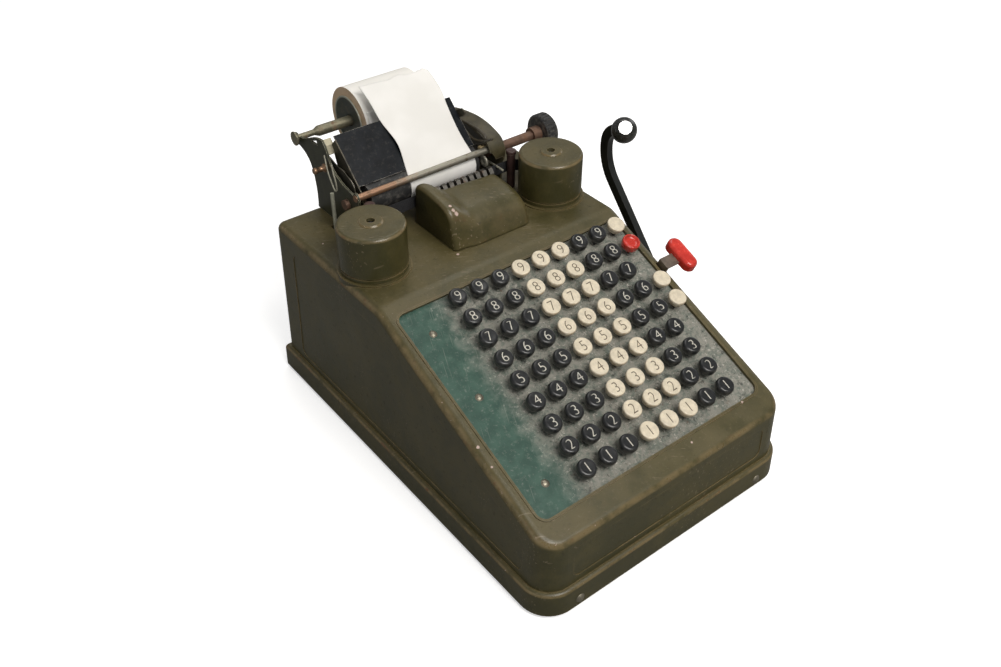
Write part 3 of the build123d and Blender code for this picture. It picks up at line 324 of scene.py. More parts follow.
# ---------------------------------------------------------------- keyboard plate
# A sheet of steel painted green. Grey dust has settled between the keys, and the bare strip
# at the left is cleaner, with fine scratches.
plate = Finish("plate_paint")
place = plate.spot()
plate_x = plate.add("SeparateXYZ", {}, place, output=0)
plate_y = plate.add("SeparateXYZ", {}, place, output=1)
cloud = plate.grain(11, 4.0, 0.62)
fine = plate.grain(2.6, 4.0, 0.7)
green = plate.mix(cloud.between(0.35, 0.65), (0.018, 0.060, 0.042, 1), (0.036, 0.092, 0.066, 1))
among = (plate_x + cloud * 26.0).between(-68.0, -42.0)
lint = (fine * 0.60 + cloud * 0.40).between(0.38, 0.56)
dust = among * (0.42 + lint * 0.55)
green = plate.mix(dust, green, (0.270, 0.262, 0.225, 1))
pale = plate.grain(3.2, 6.0, 0.80).between(0.54, 0.66)
green = plate.mix(pale * (among * 0.75 + 0.14), green, (0.60, 0.57, 0.50, 1))
dark = plate.grain(5.0, 4.0, 0.65, plate.spot(shift=(90, 40, 20))).between(0.55, 0.68)
green = plate.mix(dark * among * 0.72, green, (0.022, 0.030, 0.024, 1))
stain = plate.grain(4.2, 4.0, 0.7, plate.spot(shift=(10, 70, 50))).between(0.62, 0.72)
green = plate.mix(stain * among * 0.6, green, (0.120, 0.062, 0.030, 1))
hair = plate.grain(0.8, 1.0, 0.4, plate.spot((1.0, 0.03, 0.03), (0, 0, 0.35))).between(0.70, 0.74)
green = plate.mix(hair * 0.35, green, (0.24, 0.27, 0.22, 1))
skin = plate.bump(plate.grain(0.9, 2.0), 0.04)
plate.bump(dust * (fine + pale * 0.4), 0.55, skin)
wear_finish(plate.done(green, 0.40 + dust * 0.45 + fine * 0.08), "keyboard_plate")

# ---------------------------------------------------------------- digit keys
# Turned plastic buttons on flat steel stems: the black ones are plain drums with a soft top
# edge, the cream ones have a groove under the cap. The digits are cut in and filled.
SLOPE = np.radians(22.27)
KEY_PITCH = 19.05
FIRST_KEY = np.array([-57.6, -137.3, 88.0])
UP_SLOPE = np.array([0, np.cos(SLOPE), np.sin(SLOPE)])
OFF_SLOPE = np.array([0, -np.sin(SLOPE), np.cos(SLOPE)])
black_profile = [(0.0, 0.0), (6.3, 0.0), (6.75, 0.5), (7.0, 2.0), (7.05, 3.9), (6.95, 4.5), (6.82, 4.62),
                 (6.80, 4.95), (6.55, 5.6), (6.0, 6.15), (5.3, 6.38), (4.6, 6.36), (3.2, 6.22), (0.0, 6.15)]
cream_profile = [(0.0, 0.0), (5.6, 0.0), (6.0, 0.3), (6.1, 1.9), (5.9, 2.25), (5.5, 2.4), (5.5, 2.8), (5.9, 2.9),
                 (6.8, 3.1), (7.05, 3.4), (7.1, 4.6), (7.0, 5.3), (6.7, 5.75), (6.2, 5.95), (5.7, 5.92), (0.0, 5.9)]


def turned(profile, centre, axis, sides=40):
    """A lathe form: ring k, point j is centre + axis * height[j] + radius[j] * (cos, sin of angle k)."""
    radius, height = np.array(profile, float).T
    axis = np.array(axis, float) / np.linalg.norm(axis)
    first = np.cross(axis, [1.0, 0, 0] if abs(axis[0]) < 0.9 else [0, 1.0, 0])
    first = first / np.linalg.norm(first)
    second = np.cross(axis, first)
    angle = np.linspace(0, 2 * np.pi, sides, endpoint=False)[:, None, None]
    ring = np.cos(angle) * first + np.sin(angle) * second
    points = np.asarray(centre, float) + axis * height[None, :, None] + ring * radius[None, :, None]
    return points, grid_faces(sides, len(profile), True)


def grid_faces(rows, columns, closed):
    """Quads of a grid stored row by row; closed joins the last row to the first."""
    row = np.arange(rows if closed else rows - 1)[:, None]
    column = np.arange(columns - 1)[None, :]
    after = (row + 1) % rows
    corners = [row * columns + column, after * columns + column,
               after * columns + column + 1, row * columns + column + 1]
    return np.stack(corners, -1).reshape(-1, 4)


def add_piece(name, parts, finish, body, stands_for=(), smooth=True):
    """One mesh of several (points, faces) parts, its doubles merged, riding on a body."""
    points, faces, start = [], [], 0
    for part_points, part_faces in parts:
        part_points = np.asarray(part_points, float).reshape(-1, 3)
        faces += [tuple(int(i) + start for i in face) for face in part_faces]
        points.append(part_points)
        start += len(part_points)
    mesh = bpy.data.meshes.new(name)
    mesh.from_pydata(in_frame(np.concatenate(points)).tolist(), [], faces)
    shape = bmesh.new()
    shape.from_mesh(mesh)
    bmesh.ops.remove_doubles(shape, verts=shape.verts, dist=1e-6)
    bmesh.ops.dissolve_degenerate(shape, dist=1e-6, edges=shape.edges)
    bmesh.ops.recalc_face_normals(shape, faces=shape.faces)
    shape.to_mesh(mesh)
    shape.free()
    mesh.polygons.foreach_set("use_smooth", [smooth] * len(mesh.polygons))
    mesh.materials.append(finish)
    piece = bpy.data.objects.new(name, mesh)
    bpy.context.scene.collection.objects.link(piece)
    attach(piece, body)
    if stands_for:
        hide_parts(*stands_for)
    return piece


def moulded(name, colour, dirt, rough):
    """Old moulded plastic: faint mottling, clinging dust, patches on the sides tinted towards the dirt colour, tiny
    scratches on top.
    """
    cap = Finish(name)
    mottle = cap.grain(4, 3.0, 0.6)
    tone = cap.mix(mottle.between(0.3, 0.7), tuple(0.82 * c for c in colour[:3]) + (1,), colour)
    cling = cap.grain(1.6, 4.0, 0.7).between(0.52, 0.72)
    tone = cap.mix(cling * 0.28, tone, dirt)
    # Where the surface turns from facing up, it is tinted in patches towards the dirt colour.
    side = cap.facing("z").between(0.70, 0.35)
    tone = cap.mix(side * cap.grain(3, 3.0).between(0.35, 0.65) * 0.55, tone, dirt)
    cap.bump(cap.grain(0.7, 2.0), 0.015)
    return cap.done(tone, rough + mottle * 0.12 + cling * 0.15, coat=0.25)


black_cap = moulded("black_cap", (0.009, 0.010, 0.011, 1), (0.060, 0.058, 0.050, 1), 0.24)
cream_cap = moulded("cream_cap", (0.74, 0.655, 0.50, 1), (0.36, 0.25, 0.13, 1), 0.30)
pale_fill = moulded("pale_fill", (0.60, 0.58, 0.50, 1), (0.30, 0.28, 0.22, 1), 0.45)
dark_fill = moulded("dark_fill", (0.120, 0.088, 0.055, 1), (0.24, 0.18, 0.11, 1), 0.45)


def figure_outline(figure, height):
    """The flat mesh of one digit, centred, `height` millimetres tall, as points and faces."""
    text = bpy.data.curves.new("figure", "FONT")
    text.body = figure
    text.align_x = "CENTER"
    text.resolution_u = 3
    text.offset = -0.014
    holder = bpy.data.objects.new("figure", text)
    bpy.context.scene.collection.objects.link(holder)
    bpy.context.view_layer.update()
    mesh = bpy.data.meshes.new_from_object(holder.evaluated_get(bpy.context.evaluated_depsgraph_get()))
    points = np.array([v.co for v in mesh.vertices])
    faces = [tuple(p.vertices) for p in mesh.polygons]
    bpy.data.objects.remove(holder)
    bpy.data.meshes.remove(mesh)
    middle = (points.max(0) + points.min(0)) / 2
    tall = points[:, 1].max() - points[:, 1].min()
    return (points - middle) * height / tall * [0.92, 1, 1], faces


def cap_place(column, row):
    """The middle of a key's top on the sloped keyboard."""
    return FIRST_KEY + np.array([column * KEY_PITCH, 0, 0]) + row * KEY_PITCH * UP_SLOPE


figures = {str(n): figure_outline(str(n), 7.9) for n in range(1, 10)}
for column in range(8):
    cream = column in (3, 4, 5)
    seats = [cap_place(column, row) - 6.5 * OFF_SLOPE for row in range(9)]
    profile = cream_profile if cream else black_profile
    add_piece(f"caps_{column + 1}", [turned(profile, seat, OFF_SLOPE) for seat in seats],
              cream_cap if cream else black_cap, f"key_column_{column + 1}",
              [f"keycaps_column_{column + 1}"])
    cut = []
    for row in range(9):
        points, faces = figures[str(row + 1)]
        rise = 5.94 if cream else 6.26
        seat = seats[row] + rise * OFF_SLOPE
        cut.append((seat + points[:, :1] * [1, 0, 0] + points[:, 1:2] * UP_SLOPE, faces))
    add_piece(f"digits_{column + 1}", cut, dark_fill if cream else pale_fill, f"key_column_{column + 1}",
              smooth=False)

# ---------------------------------------------------------------- function keys
# Four keys at the right: three cream ones and a red one with a dished top. Their words are
# left off, and each stands on its own flat stem.
red_cap = moulded("red_cap", (0.62, 0.035, 0.020, 1), (0.30, 0.05, 0.03, 1), 0.16)
stem_steel = bpy.data.materials["stem_steel"]
dished_profile = [(0.0, 0.0), (6.3, 0.0), (6.8, 0.4), (7.05, 2.0), (7.1, 5.2), (6.9, 6.0), (6.45, 6.4),
                  (6.1, 6.45), (5.75, 6.2), (5.3, 5.2), (4.7, 4.7), (3.2, 4.5), (0.0, 4.45)]


def flat_bar(start, end, width, depth, side):
    """A straight bar of oblong section from start to end; `side` is the way its width runs."""
    start, end, side = np.array(start, float), np.array(end, float), np.array(side, float)
    along = (end - start) / np.linalg.norm(end - start)
    thick = np.cross(along, side)
    signs = np.array([(-1, -1), (1, -1), (1, 1), (-1, 1)]) / 2
    ring = signs[:, :1] * width * side + signs[:, 1:] * depth * thick
    points = np.concatenate([start + ring, end + ring])
    faces = [(0, 1, 2, 3), (7, 6, 5, 4)] + [(i, i + 4, (i + 1) % 4 + 4, (i + 1) % 4) for i in range(4)]
    return points, faces


for name, row, profile, finish, slot in (
    ("repeat", 4, cream_profile, cream_cap, "cream_plastic"),
    ("total", 5, cream_profile, cream_cap, "cream_plastic"),
    ("non_add", 7, dished_profile, red_cap, "red_plastic"),
    ("subtotal", 8, cream_profile, cream_cap, "cream_plastic"),
):
    seat = cap_place(8, row) - 6.5 * OFF_SLOPE
    add_piece(f"{name}_cap", [turned(profile, seat, OFF_SLOPE)], finish, f"{name}_key_body",
              [f"{name}_key"])
    add_piece(f"{name}_stem", [flat_bar(seat, seat - 38.0 * OFF_SLOPE, 5.0, 1.6, UP_SLOPE)], stem_steel,
              f"{name}_key_body", smooth=False)

# ---------------------------------------------------------------- minus bar
# A moulded red bar with round ends, polished by the hand, on a bent steel arm.
bar_red = Finish("bar_red")
mottle = bar_red.grain(6, 3.0, 0.6)
tone = bar_red.mix(mottle.between(0.35, 0.65), (0.52, 0.026, 0.016, 1), (0.66, 0.042, 0.026, 1))
bar_red.bump(bar_red.grain(9, 2.0), 0.10)
wear_finish(bar_red.done(tone, 0.20 + mottle * 0.12, coat=0.3), "minus_bar")
wear_finish(dull_steel("arm_steel", (0.30, 0.25, 0.20, 1), 0.5, 0.35), "minus_bar_arm")

# ---------------------------------------------------------------- carriage
# Dark olive end plates with edges rubbed to bare metal, a black paper table, a worn black
# platen on a brown shaft, and a bar across the paper with its plating worn to copper.


def dark_paint(name, plain, bare, rough, edge=0.22, lip=None):
    """Thin dark paint on sheet steel: sharp edges and small spots are rubbed to the metal.

    A lip, written (x, z), is bare metal everywhere to the right of x and above z.
    """
    paint = Finish(name)
    cloud = paint.grain(8, 4.0, 0.6)
    tone = paint.mix(cloud.between(0.35, 0.65), tuple(0.6 * c for c in plain[:3]) + (1,), plain)
    sharp = paint.worn_edge(0.7).between(0.03 * edge / 0.22, edge) * cloud.between(0.32 * edge / 0.22, 0.55)
    spots = paint.grain(2.0, 3.0, 0.6).between(0.735, 0.78)
    if lip:
        place_x = paint.add("SeparateXYZ", {}, paint.spot(), output=0)
        place_z = paint.add("SeparateXYZ", {}, paint.spot(), output=2)
        inner = (place_x - lip[0]).between(0.0, 0.4) * place_z.between(lip[1] - 1.5, lip[1] + 1.5)
        sharp = sharp.math("MAXIMUM", inner * cloud.between(0.30, 0.45) * 0.9)
    rub = (sharp + spots * 0.6).math("MINIMUM", 1.0)
    tone = paint.mix(rub, tone, bare)
    dust = paint.facing("z").between(0.3, 1.0) * paint.grain(3, 4.0, 0.7).between(0.50, 0.74)
    tone = paint.mix(dust * 0.16, tone, (0.17, 0.16, 0.13, 1))
    paint.bump(paint.grain(1.0, 2.0), 0.03)
    return paint.done(tone, rough + dust * 0.3 + cloud * 0.1, rub * 0.5)


wear_finish(dark_paint("left_drab", (0.036, 0.038, 0.018, 1), (0.46, 0.42, 0.30, 1), 0.40, 0.12, (-72.2, 186.0)),
            "carriage_plate_left")
wear_finish(dark_paint("right_drab", (0.066, 0.055, 0.026, 1), (0.30, 0.26, 0.17, 1), 0.36), "carriage_plate_right")
wear_finish(dark_paint("bracket_drab", (0.060, 0.055, 0.040, 1), (0.40, 0.36, 0.28, 1), 0.40), "platen_bracket")
table_black = dark_paint("table_black", (0.006, 0.008, 0.011, 1), (0.38, 0.36, 0.31, 1), 0.26)
table_black.node_tree.nodes["Principled BSDF"].inputs["Specular IOR Level"].default_value = 0.25
wear_finish(table_black, "paper_table")
bar = Finish("bar_plating")
bar_x = bar.add("SeparateXYZ", {}, bar.spot(), output=0)
cloud = bar.grain(6, 4.0, 0.65)
streak = bar.grain(0.6, 2.0, 0.6, bar.spot((0.06, 1, 1)))
coppered = (bar_x + cloud * 60.0).between(18.0, -22.0)
tone = bar.mix(coppered, (0.34, 0.32, 0.26, 1), (0.36, 0.21, 0.13, 1))
tone = bar.mix(cloud.between(0.56, 0.68) * 0.7, tone, (0.16, 0.10, 0.06, 1))
bar.bump(streak, 0.03)
wear_finish(bar.done(tone, 0.30 + streak * 0.2, 0.75), "paper_bar")
wear_finish(dull_steel("spindle_steel", (0.27, 0.25, 0.17, 1), 0.9, 0.36, 0.6), "roll_spindle_left",
            "roll_spindle_right")
wear_finish(dull_steel("shaft_steel", (0.22, 0.135, 0.095, 1), 1.0, 0.38, 0.6), "platen_shaft")
wear_finish(dull_steel("rod_steel", (0.42, 0.42, 0.33, 1), 0.1, 0.36, 0.3), "release_lever")
wear_finish(dull_steel("type_steel", (0.20, 0.19, 0.17, 1), 0.8, 0.36), "type_bars")
wear_finish(dark_paint("post_plum", (0.060, 0.030, 0.026, 1), (0.45, 0.40, 0.32, 1), 0.40), "ribbon_guide_posts")
rubber = Finish("platen_rubber")
rubber.bump(rubber.grain(1.2, 3.0, 0.6), 0.06)
worn = rubber.grain(5, 4.0, 0.65)
wear_finish(rubber.done(rubber.mix(worn.between(0.45, 0.72), (0.018, 0.018, 0.018, 1), (0.10, 0.095, 0.085, 1)),
                        0.5 + worn * 0.25), "platen_roller")
knob_plastic = moulded("knob_black", (0.022, 0.022, 0.022, 1), (0.16, 0.15, 0.13, 1), 0.30)
wear_finish(knob_plastic, "platen_knob")
cloth = Finish("ribbon_cloth")
weave = cloth.add("TexWave", {"bands_direction": "Z"}, Vector=cloth.spot(), Scale=1.6, Distortion=0.4)
cloth.bump(weave, 0.05)
wear_finish(cloth.done(cloth.mix(weave, (0.012, 0.012, 0.014, 1), (0.035, 0.035, 0.038, 1)), 0.8), "ribbon")

# ---------------------------------------------------------------- type hood
# A pressed cover in front of the type bars. Its left end stands up as a rounded ridge, and from
# there the top sweeps down to the right, into a large round at the front and the right end.
HOOD = {"left": -26.4, "right": 46.8, "foot": 144.0, "edge": 3.6, "round": 10.0, "corner": 9.0}
ridge = [(103.5, 173.0), (101.5, 176.8), (96.5, 179.2), (88.0, 179.6), (78.0, 178.8), (68.0, 177.2),
         (61.0, 174.4), (57.0, 170.0), (54.8, 164.0), (52.6, 156.0), (50.8, 149.0), (49.6, 144.0)]
plain = [(91.0, 171.4), (88.0, 171.4), (83.0, 171.2), (77.0, 170.7), (70.0, 169.6), (63.0, 167.6),
         (57.2, 164.2), (53.0, 159.4), (50.6, 154.0), (48.9, 149.6), (47.8, 146.4), (47.0, 144.0)]


def evenly(points, count):
    """`count` points on a smooth line through the given ones: a Catmull-Rom curve, equally parted."""
    points = np.array(points, float)
    padded = np.concatenate([[2 * points[0] - points[1]], points, [2 * points[-1] - points[-2]]])
    t = np.linspace(0, 1, 12, endpoint=False)[:, None]
    line = [0.5 * (2 * b + (c - a) * t + (2 * a - 5 * b + 4 * c - d) * t**2 + (3 * b - a - 3 * c + d) * t**3)
            for a, b, c, d in zip(padded, padded[1:], padded[2:], padded[3:])]
    line = np.concatenate(line + [points[-1:]])
    run = np.concatenate([[0], np.cumsum(np.linalg.norm(np.diff(line, axis=0), axis=1))])
    where = np.linspace(0, run[-1], count)
    return np.stack([np.interp(where, run, line[:, k]) for k in range(line.shape[1])], 1)


def hood_line(x, inward):
    """The hood's (y, z) line at x: the ridge's line turning into the plain one, drawn inward at the left."""
    share = np.clip((x + 21.0) / 17.0, 0, 1)
    share = share * share * (3 - 2 * share)
    line = (1 - share) * evenly(ridge, 44) + share * evenly(plain, 44)
    sweep = np.clip((x + 6.0) / 36.0, 0, 1) ** 2 * 2.2
    across = np.clip((x - HOOD["right"] + HOOD["round"]) / HOOD["round"], 0, 1)
    top = 27.4 - HOOD["round"] * (1 - np.sqrt(1 - across**2)) - sweep
    line[:, 1] = HOOD["foot"] + (line[:, 1] - HOOD["foot"]) * (top / 27.4 if x > -6 else 1)
    corner = np.clip((x - HOOD["right"] + HOOD["corner"]) / HOOD["corner"], 0, 1)
    line[:, 0] += HOOD["corner"] * (1 - np.sqrt(1 - corner**2)) * np.clip((91 - line[:, 0]) / 44, 0, 1)
    step = np.gradient(line, axis=0)
    out = np.stack([-step[:, 1], step[:, 0]], 1) / np.linalg.norm(step, axis=1)[:, None]
    line = line + inward * out
    line[-1, 1] = HOOD["foot"]
    return np.concatenate([np.full((len(line), 1), x), line], 1)


turn = np.radians(np.linspace(0, 90, 7))
stations = [(HOOD["left"] + HOOD["edge"] * (1 - np.cos(a)), HOOD["edge"] * (1 - np.sin(a))) for a in turn]
stations += [(x, 0.0) for x in np.linspace(-21.5, 29.0, 34)]
stations += [(HOOD["right"] - HOOD["round"] * (1 - np.sin(a)), 0.0) for a in np.radians(np.linspace(0, 90, 13))]
lines = np.array([hood_line(x, inward) for x, inward in stations])
count = lines.shape[1]
points = np.concatenate([lines.reshape(-1, 3), [[HOOD["left"], 103.0, HOOD["foot"]],
                                                [HOOD["right"], 91.0, HOOD["foot"]]]])
ends = [tuple(range(count)) + (len(points) - 2,),
        tuple(range(len(points) - 2 - count, len(points) - 2)) + (len(points) - 1,)]
# The first three pale spots, on the front of the left ridge, are chipped paint that also paints the ridge's pinkish
# highlight.
hood_paint = drab_paint("hood_paint", 0.3, [(-20.0, 60.0, 174.0, 1.7), (-19.0, 57.5, 171.6, 1.9),
                                            (-20.5, 63.5, 175.6, 1.2), (-24.0, 51.5, 146.0, 1.0)],
                        0.35)
hood = add_piece("hood_cover", [(points, [tuple(face) for face in grid_faces(len(lines), count, False)] + ends)],
                 hood_paint, "machine", ["type_hood"])
shell = hood.modifiers.new("sheet", "SOLIDIFY")
shell.thickness = 0.0012
shell.offset = -1.0

# ---------------------------------------------------------------- paper
# A strip of plain adding-machine paper from a roll, yellowed on the roll's side, with a torn end.


def paper_stock(name, plain, shade):
    """Uncoated paper: a soft fibre mottle, faintly warmer in broad patches."""
    paper = Finish(name)
    fibre = paper.grain(0.6, 3.0, 0.6)
    broad = paper.grain(30, 2.0)
    tone = paper.mix(broad.between(0.35, 0.65), plain, shade)
    paper.bump(fibre, 0.02)
    return paper.done(tone, 0.85 + fibre * 0.08)


# The strip's line: up the table at 43 degrees for 53 mm, then over in an arc of 70 mm radius.
# Below, it goes round the platen (radius 13.7 about y 121.5, z 169.3) and straight back to the roll.
along = np.arange(-107.0, 90.5, 0.5)
below = np.clip(-along, 0, 46.05)
bend = np.radians(133.0) + below / 13.7
lower = np.stack([121.5 + 13.7 * np.cos(bend), 169.3 + 13.7 * np.sin(bend)], 1)
lower += np.clip(-along - 46.05, 0, None)[:, None] * [np.cos(np.radians(55.6)), np.sin(np.radians(55.6))]
heading = np.where(along < 0, bend - np.pi / 2, np.radians(43.0) - np.clip(along - 53.0, 0, None) / 70.0)
step = np.where((along > 0)[:, None], np.stack([np.cos(heading), np.sin(heading)], 1) * 0.5, 0)
place = lower + np.cumsum(step, axis=0)
across = np.linspace(0, 1, 49)
noise = np.random.default_rng(7).normal(0, 0.28, len(across))
torn = 82 - 4.5 * across + noise
for at, wide, rise in ((0.57, 0.09, 2.3), (0.80, 0.03, 1.0), (0.87, 0.03, 2.0), (0.94, 0.03, 3.0)):
    torn += rise * np.exp(-(((across - at) / wide) ** 2))
rows = np.concatenate([np.arange(-107.0, 50.0, 1.5), np.linspace(50, 82, 22)])
left_edge = np.interp(rows, [-5, 6, 16, 26, 36, 50, 82], [-25.0, -23.6, -22.0, -21.5, -22.6, -25.0, -25.0])
right_edge = np.interp(rows, [-5, 0, 12, 22, 32, 42, 50, 57, 82], [37.0, 36.4, 34.9, 34.0, 34.0, 35.0, 36.4,
                       37.4, 37.0])
soft = np.ones(7) / 7
left_edge = np.convolve(np.pad(left_edge, 3, mode="edge"), soft, "valid")
right_edge = np.convolve(np.pad(right_edge, 3, mode="edge"), soft, "valid")
s = np.where(rows[:, None] > 50, 50 + (rows[:, None] - 50) * (torn[None, :] - 50) / 32, rows[:, None])
x = left_edge[:, None] * (1 - across) + right_edge[:, None] * across
lift = 3.0 * np.exp(-(((s - 27) / 13) ** 2)) * (1 - across) ** 3 + 1.2 * np.exp(-(((s - 33) / 14) ** 2)) * across**4
tilt = np.interp(s, along, heading)
sides_of_sheet = []
for offset in (0.12, -0.12):
    y = np.interp(s, along, place[:, 0]) - np.sin(tilt) * (lift + offset)
    z = np.interp(s, along, place[:, 1]) + np.cos(tilt) * (lift + offset)
    sides_of_sheet.append(np.stack([x, y, z], -1).reshape(-1, 3))
front = grid_faces(len(rows), len(across), False)
size = len(rows) * len(across)
grid = np.arange(size).reshape(len(rows), len(across))
rim = np.concatenate([grid[0], grid[1:, -1], grid[-1, -2::-1], grid[-2:0:-1, 0]])
walls = [(int(a), int(b), int(b) + size, int(a) + size) for a, b in zip(rim, np.roll(rim, -1))]
add_piece("strip", [(np.concatenate(sides_of_sheet),
          [tuple(f) for f in front] + [tuple(f + size) for f in front] + walls)],
          paper_stock("strip_paper", (0.86, 0.845, 0.81, 1), (0.81, 0.795, 0.755, 1)), "machine",
          ["paper_strip"])

roll = Finish("roll_paper")
side = roll.facing("x").math("ABSOLUTE").between(0.6, 0.9)
place = roll.spot(shift=(14.05, 22.4548 - 190.0, -196.5))
flat = roll.add("VectorMath", {"operation": "MULTIPLY"}, place, (0, 1, 1))
reach = roll.add("VectorMath", {"operation": "LENGTH"}, flat, output=1)
layers = (reach * 9.0).math("SINE") * 0.5 + 0.5
tan_side = roll.mix(layers * 0.5 + roll.grain(7, 3.0) * 0.6, (0.56, 0.36, 0.21, 1), (0.78, 0.62, 0.44, 1))
tone = roll.mix(side, (0.86, 0.84, 0.79, 1), tan_side)
roll.bump(layers * side, 0.08)
wear_finish(roll.done(tone, 0.85), "paper_roll")

# ---------------------------------------------------------------- carriage fittings
# Small parts round the platen: the dished disc that fills the roll's core, the spring wire and
# the stud on the left plate, the table's cheek, and the feed roller at the bar's right end.


def bent_rod(points, radius, sides=12):
    """A round rod along a line of points, closed at both ends; each ring faces along the line."""
    points = np.array(points, float)
    along = np.gradient(points, axis=0)
    along = along / np.linalg.norm(along, axis=1)[:, None]
    side = np.cross(along[0], [0.3, 0.2, 0.9])
    rings = []
    for place, way in zip(points, along):
        side = side - way * (side @ way)
        side = side / np.linalg.norm(side)
        turn = np.linspace(0, 2 * np.pi, sides, endpoint=False)[:, None]
        rings.append(place + radius * (np.cos(turn) * side + np.sin(turn) * np.cross(way, side)))
    faces = [(k * sides + i, (k + 1) * sides + i, (k + 1) * sides + (i + 1) % sides, k * sides + (i + 1) % sides)
             for k in range(len(points) - 1) for i in range(sides)]
    last = (len(points) - 1) * sides
    return np.concatenate(rings), faces + [tuple(range(sides)), tuple(range(last, last + sides))]


def flat_sheet(x0, x1, outline):
    """A sheet between two x values whose (y, z) outline is given."""
    count = len(outline)
    points = [(x, y, z) for x in (x0, x1) for y, z in outline]
    faces = [(i, (i + 1) % count, (i + 1) % count + count, i + count) for i in range(count)]
    return points, faces + [tuple(range(count)), tuple(range(count, 2 * count))]


disc = Finish("disc_slate")
place = disc.spot(shift=(14.05, 22.4548 - 190.0, -196.5))
flat = disc.add("VectorMath", {"operation": "MULTIPLY"}, place, (0, 1, 1))
reach = disc.add("VectorMath", {"operation": "LENGTH"}, flat, output=1)
cloud = disc.grain(5, 4.0, 0.65)
bright_rim = reach.between(18.4, 19.4)
tone = disc.mix(cloud.between(0.4, 0.66), (0.030, 0.040, 0.030, 1), (0.075, 0.070, 0.050, 1))
tone = disc.mix(bright_rim, tone, (0.42, 0.43, 0.36, 1))
disc.bump(cloud, 0.1)
disc.done(tone, 0.38 + cloud * 0.2, bright_rim * 0.6)
add_piece("roll_disc", [turned([(4.3, 0.2), (6.2, -0.1), (14.8, -0.4), (18.0, -1.1), (19.4, -1.6), (20.2, -1.4),
                                (20.4, -0.8), (19.6, -0.3), (16.2, -0.25), (16.2, 2.6), (4.3, 3.0), (4.3, 0.2)],
                               (-27.0, 190.0, 196.5), (1, 0, 0), 56)],
          disc.material, "left_spindle")
wire_steel = dull_steel("wire_steel", (0.48, 0.46, 0.36, 1), 0.2, 0.30, 0.3)
wire = [(-75.2, 148.0, 199.6), (-76.0, 143.2, 187.7), (-76.0, 141.1, 183.5), (-76.0, 137.8, 178.1),
        (-76.0, 134.7, 175.2), (-76.0, 132.1, 177.3), (-76.0, 132.5, 183.2), (-76.0, 135.3, 191.3),
        (-75.4, 137.2, 196.4)]
add_piece("spring_wire", [bent_rod(evenly(wire, 48), 0.55)], wire_steel, "machine")
copper = dull_steel("stud_copper", (0.38, 0.24, 0.15, 1), 0.5, 0.34)
add_piece("plate_stud", [turned([(0, 0), (3.4, 0), (3.4, 2.2), (2.1, 2.6), (2.0, 8.0), (2.5, 8.4), (2.6, 10.4),
                                 (2.1, 11.2), (0, 11.3)], (-73.6, 149.7, 188.1), (-1, 0, 0), 28)],
          copper, "machine")
cheek_drab = dark_paint("cheek_drab", (0.030, 0.026, 0.014, 1), (0.26, 0.22, 0.15, 1), 0.44)
add_piece("table_cheek", [flat_sheet(-67.2, -66.4, [(113.0, 153.0), (109.5, 168.0), (111.0, 180.5), (118.0, 187.5),
                                                    (131.0, 200.0), (143.5, 211.5), (149.0, 206.0), (145.0, 194.0),
                                                    (141.0, 182.0), (137.0, 168.0), (130.0, 156.0)])],
          cheek_drab, "machine", smooth=False)
lever_drab = dark_paint("lever_drab", (0.050, 0.040, 0.022, 1), (0.42, 0.38, 0.27, 1), 0.38, 0.12)
upper_lever = [(47.0, 146.5, 192.9), (47.0, 138.3, 193.6), (47.0, 128.9, 193.8), (47.0, 119.6, 194.1),
               (47.0, 111.8, 193.0), (47.0, 107.9, 189.3), (47.0, 111.9, 184.1), (47.0, 121.2, 179.3)]
lower_lever = [(44.0, 139.8, 191.3), (44.0, 131.7, 189.2), (44.0, 125.1, 186.7), (44.0, 117.1, 186.4),
               (44.0, 106.6, 190.0), (44.0, 96.3, 196.0)]
add_piece("feed_levers", [bent_rod(evenly(upper_lever, 40), 1.3), bent_rod(evenly(lower_lever, 40), 1.1)],
          lever_drab, "machine")
corner = [(147.6, 200.3), (132.4, 208.8), (127.1, 207.4), (129.9, 202.9), (142.3, 196.2)]
add_piece("guide_corner", [flat_sheet(41.2, 42.2, corner)], cheek_drab, "machine", smooth=False)
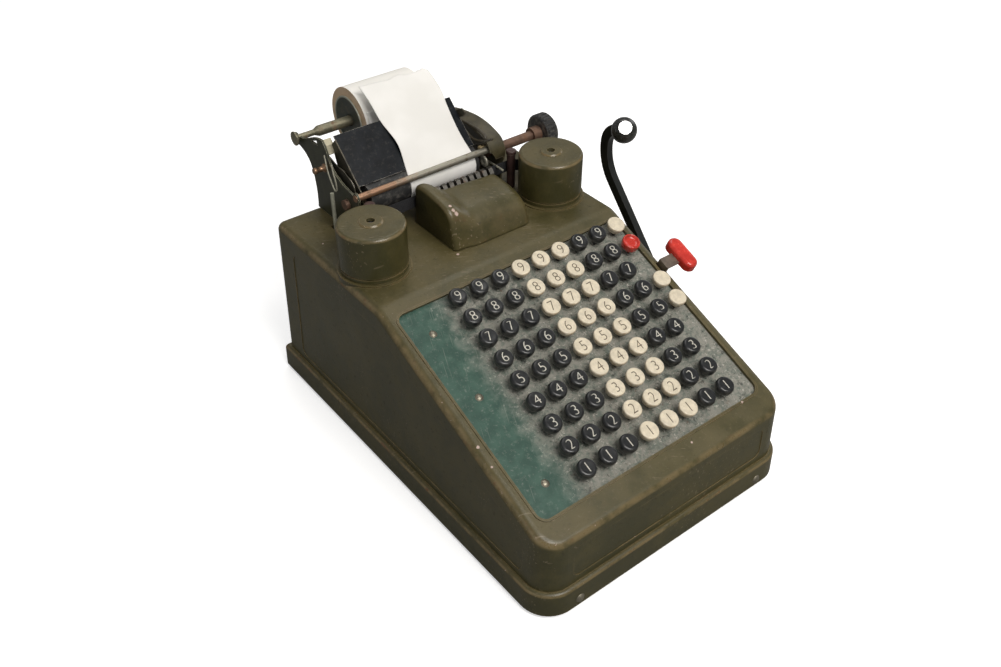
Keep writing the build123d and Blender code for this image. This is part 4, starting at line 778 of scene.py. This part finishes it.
add_piece("bar_upright", [flat_bar((44.0, 117.4, 172.0), (44.0, 115.0, 157.5),
                                 3.4, 1.4, (0, 1, 0))], cheek_drab, "machine",
          smooth=False)
pale_steel = dull_steel("pale_steel", (0.44, 0.42, 0.34, 1), 0.5, 0.34, 0.4)
add_piece("wheel_face", [turned([(0, 0), (1.5, 0), (1.8, -0.5), (4.6, -0.4), (4.9, 0.1), (4.9, 0.6), (0, 0.6)],
                                (44.8, 108.5, 171.1), (1, 0, 0), 36)], pale_steel, "machine")
add_piece("bar_collar", [turned([(2.75, 0), (3.7, 0.2), (3.9, 0.8), (3.9, 3.6), (3.6, 4.2), (2.75, 4.3), (2.75, 0)],
                                (50.5, 108.5, 180.0), (1, 0, 0), 36)], pale_steel, "machine")
add_piece("light_rod", [bent_rod([(55.0, y, 164.6) for y in np.linspace(116, 96, 9)], 0.9)], wire_steel, "machine")
ribbed = [(0, 0), (1.9, 0)]
for rib in range(8):
    ribbed += [(2.3, 0.3 + rib * 1.3), (2.3, 0.9 + rib * 1.3), (1.8, 1.1 + rib * 1.3), (1.8, 1.4 + rib * 1.3)]
ribbed += [(1.8, 11.0), (0, 11.0)]
add_piece("feed_roller", [turned(ribbed, (43.5, 112.6, 180.9), (1, 0, 0), 28)],
          moulded("feed_amber", (0.40, 0.31, 0.16, 1), (0.16, 0.12, 0.06, 1), 0.40), "machine")

# ---------------------------------------------------------------- crank
# A flat steel arm japanned black, with a black ball moulded over its end and the bright
# head of the pin that holds it.
japan = Finish("crank_japan")
cloud = japan.grain(12, 3.0, 0.6)
rub = japan.worn_edge(0.8).between(0.04, 0.25) * cloud.between(0.42, 0.62)
tone = japan.mix(rub * 0.6, (0.008, 0.009, 0.008, 1), (0.16, 0.15, 0.13, 1))
japan.bump(japan.grain(2, 2.0), 0.03)
wear_finish(japan.done(tone, 0.22 + cloud * 0.16, coat=0.3), "crank_arm")
wear_finish(moulded("ball_black", (0.012, 0.013, 0.011, 1), (0.05, 0.05, 0.045, 1), 0.14), "crank_knob")
wear_finish(dull_steel("pin_bright", (0.80, 0.80, 0.80, 1), 0.0, 0.18), "crank_knob_pin")
